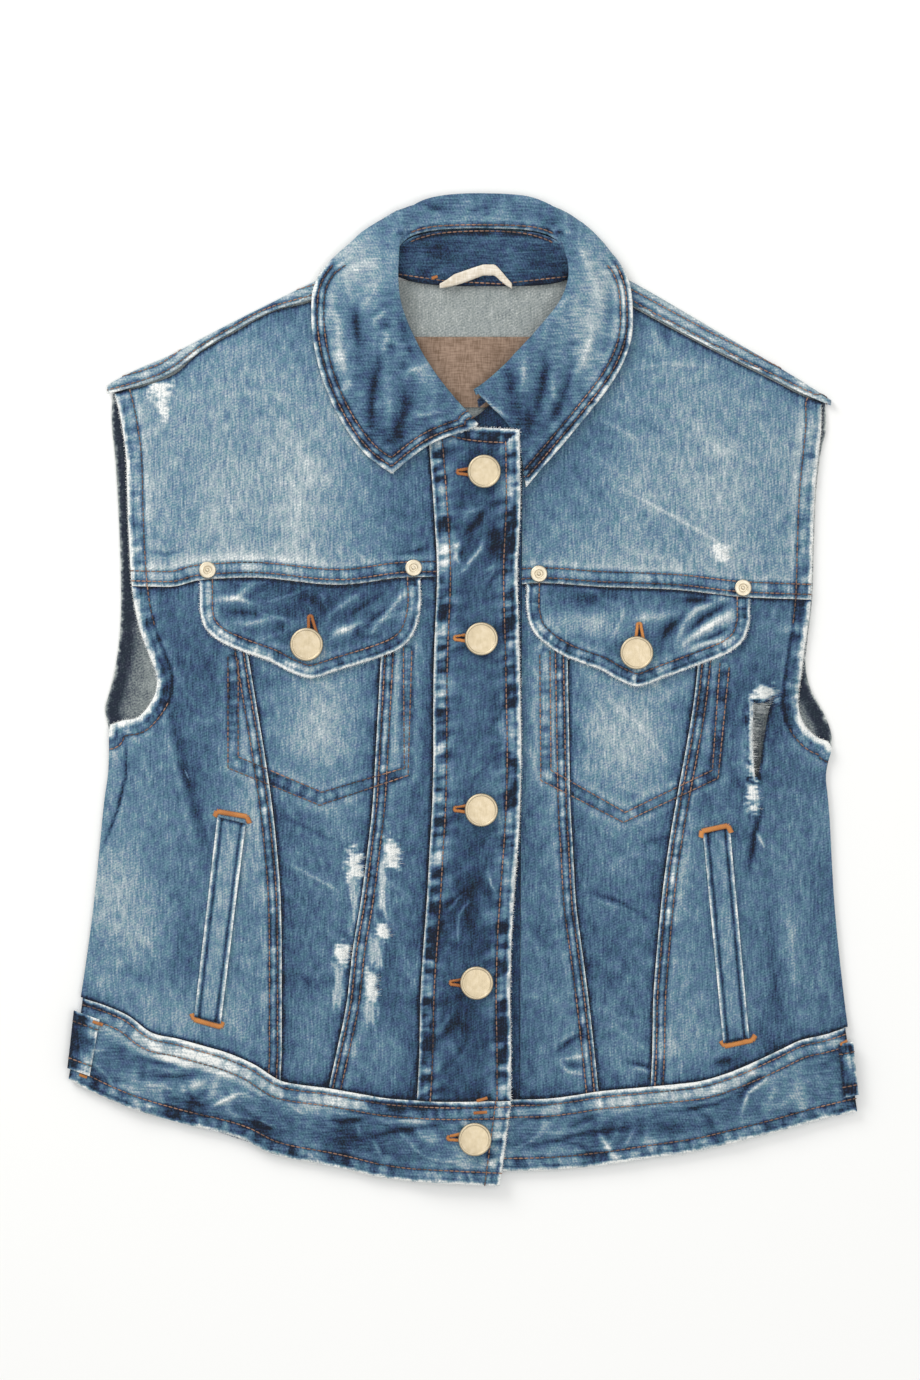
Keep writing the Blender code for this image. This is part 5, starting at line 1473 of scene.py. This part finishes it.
fraying, given = tree_with("fraying", {"Pitch": FLOAT, "Material": "NodeSocketMaterial"})
steps = stepped(fraying, given)
outward = add(fraying, "ShaderNodeVectorMath", {0: steps.outputs["Tangent"], 1: (0, 0, 1)},
              operation="CROSS_PRODUCT")
aim = add(fraying, "FunctionNodeAlignRotationToVector", {"Vector": outward.outputs[0]}, axis="X")
fringe = planted(fraying, steps.outputs["Points"], aim.outputs[0], ((-0.2, -0.5, -1.3), (0.2, 0.25, 1.3)),
                 (0.3 * MM, 1.3 * MM), 0.09, 3)
close_tree(fraying, fringe.outputs[0], given["Material"])

floating, given = tree_with("floating", {"Density": FLOAT, "Material": "NodeSocketMaterial"})
dots = add(floating, "GeometryNodeDistributePointsOnFaces", {
    "Mesh": given["Geometry"], "Density": given["Density"], "Seed": 4}, distribute_method="RANDOM")
floats = planted(floating, dots.outputs["Points"], add(floating, "FunctionNodeEulerToRotation").outputs[0],
                 ((-0.1, -0.03, -0.2), (0.1, 0.03, 0.2)), (2.0 * MM, 5.5 * MM), 0.045, 9)
close_tree(floating, floats.outputs[0], given["Material"])
print("fraying and floating:", len(fraying.nodes), "and", len(floating.nodes), "nodes")

# %% Frayed edges
fringes = [chain for chain in FRINGES if len(chain) > 2]
grown("frayed_edges", fraying, lines("frayed_edges", fringes), Pitch=0.45 * MM, Material=COTTON)

# %% Bare weft
RIP_VEILS = [  # where threads still cross the rip
    ((155, -5), (166, -4), (164.5, -13), (156.5, -13)),
    ((154.5, -15), (156.5, -15), (156.5, -40), (155, -40)),
    ((155.5, -20), (160, -20.6), (160, -21.4), (155.5, -20.8)),
    ((156, -28), (158, -27), (158, -28), (156, -29)),
]
cloth = surfaces["front_side_right"][0]
for corners in RIP_VEILS:
    veil = np.pad(np.array(corners) + middle[:2], ((0, 0), (0, 1)), constant_values=cloth[:, 2].mean())
    veil[:, 2] = cloth[nearest(veil, cloth)[1], 2] - 0.2
    BARE.append((veil, np.array([(0, 3, 2), (0, 2, 1)])))

ground = bpy.data.meshes.new("bare_patches")
places, patches = [], []
for points, faces in BARE:
    used = np.unique(faces)
    number = dict(zip(used, range(len(places), len(places) + len(used))))
    places += [tuple(p) for p in points[used] * MM]
    patches += [tuple(number[k] for k in face) for face in faces]
ground.from_pydata(places, [], patches)
grown("bare_weft", floating, ground, Density=1.6 / MM ** 2, Material=COTTON)

# %% [markdown]
# ## Buttons and rivets
# Shank buttons are stamped from a disc: a flat face inside a low rolled rim. Rivets are a small collar with
# a burr in the middle. Both are turned from a profile finer than the solid's, and left plain.

# %% Buttons and rivets
# radius and height, from the middle of the face out and down
BUTTON_PROFILE = [(0, 3.25), (4, 3.25), (7.1, 3.2), (7.45, 3.15), (7.6, 3.3), (7.85, 3.48), (8.25, 3.5),
                  (8.6, 3.35), (8.95, 2.85), (8.9, 2.4), (8.3, 1.75), (6.5, 1.45), (4.5, 1.3), (4.05, 0)]
RIVET_PROFILE = [(0, 1.5), (0.65, 1.45), (1.0, 1.2), (1.1, 0.25), (2.0, 0.25), (2.1, 0.95), (2.4, 1.12),
                 (3.9, 1.12), (4.35, 1.0), (4.55, 0.6), (4.5, 0.2), (4.4, 0)]
TURN_STEPS = 48


def turned_on(node, profile):
    """A piece turned from a profile at a node's place."""
    low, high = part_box(node)
    x, y = (low[0] + high[0]) / 2, (low[1] + high[1]) / 2
    points, faces = [(x, y, low[2] + profile[0][1] * MM)], []
    angles = [math.tau * k / TURN_STEPS for k in range(TURN_STEPS)]
    for radius, height in profile[1:]:
        z = low[2] + height * MM
        points += [(x + radius * MM * math.cos(a), y + radius * MM * math.sin(a), z) for a in angles]
    after = [(k + 1) % TURN_STEPS for k in range(TURN_STEPS)]
    faces += [(0, 1 + k, 1 + after[k]) for k in range(TURN_STEPS)]
    for ring in range(len(profile) - 2):
        start = 1 + ring * TURN_STEPS
        faces += [(start + k, start + TURN_STEPS + k, start + TURN_STEPS + after[k], start + after[k])
                  for k in range(TURN_STEPS)]
    faces.append(tuple(len(points) - 1 - k for k in range(TURN_STEPS)))
    mesh = bpy.data.meshes.new(node)
    mesh.from_pydata(points, [], faces)
    mesh.shade_smooth()
    mesh.set_sharp_from_angle(angle=SHARP)
    mesh.materials.append(RUBBED_BRASS if "rivet" in node else FINISH["pale_brass"])
    return placed(f"{node}_metal", mesh)


metal = [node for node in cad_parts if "button" in node or "rivet" in node]
for node in metal:
    declare(turned_on(node, BUTTON_PROFILE if "button" in node else RIVET_PROFILE), node)
print("buttons and rivets:", len(metal))

# %% [markdown]
# ## The hanger loop
# A short cotton tape is caught in the neck seam at both ends, to hang the jacket by. It could be a curve
# with a flat section, but its solid is already there as a low arch, so a smooth copy of that is bent up into
# a peak, narrowed where its feet go into the seam, and let down with the seam.

# %% The hanger loop
LOOP_PEAK = 14.0  # where the tape is bent up
LOOP_RISE = 6.5  # how far its middle stands off its ends
LOOP_BEND = 3.0  # half of the flat top of the peak
LOOP_FOOT = 8.0  # how much of each end narrows into the seam
FOOT_WEST, FOOT_EAST = 0.5, 0.55  # share of the width that is left at each end
mesh, _ = softened("hanger_loop", 2)
points = vectors(mesh.vertices, "co")
low, high = points[:, 0].min(), points[:, 0].max()
share = np.interp(points[:, 0], (low, LOOP_PEAK - LOOP_BEND, LOOP_PEAK + LOOP_BEND, high), (0, 1, 1, 0))
arch = 1 - (2 * (points[:, 0] - low) / (high - low) - 1) ** 2
narrowed = np.interp(points[:, 0], (low, low + LOOP_FOOT, high - LOOP_FOOT, high),
                     (FOOT_WEST, 1, 1, FOOT_EAST))
straight = points[:, 1] - LOOP_RISE * arch
points[:, 1] = straight.min() + narrowed * (straight - straight.min()) + LOOP_RISE * share
points = let_down(points, neck_rim)
mesh.vertices.foreach_set("co", (points * MM).astype(np.float32).ravel())
mesh.shade_smooth()
mesh.materials.append(FINISH["cotton_tape"])
declare(placed("hanger_loop_tape", mesh), "hanger_loop")
print("hanger loop:", len(points), "points")
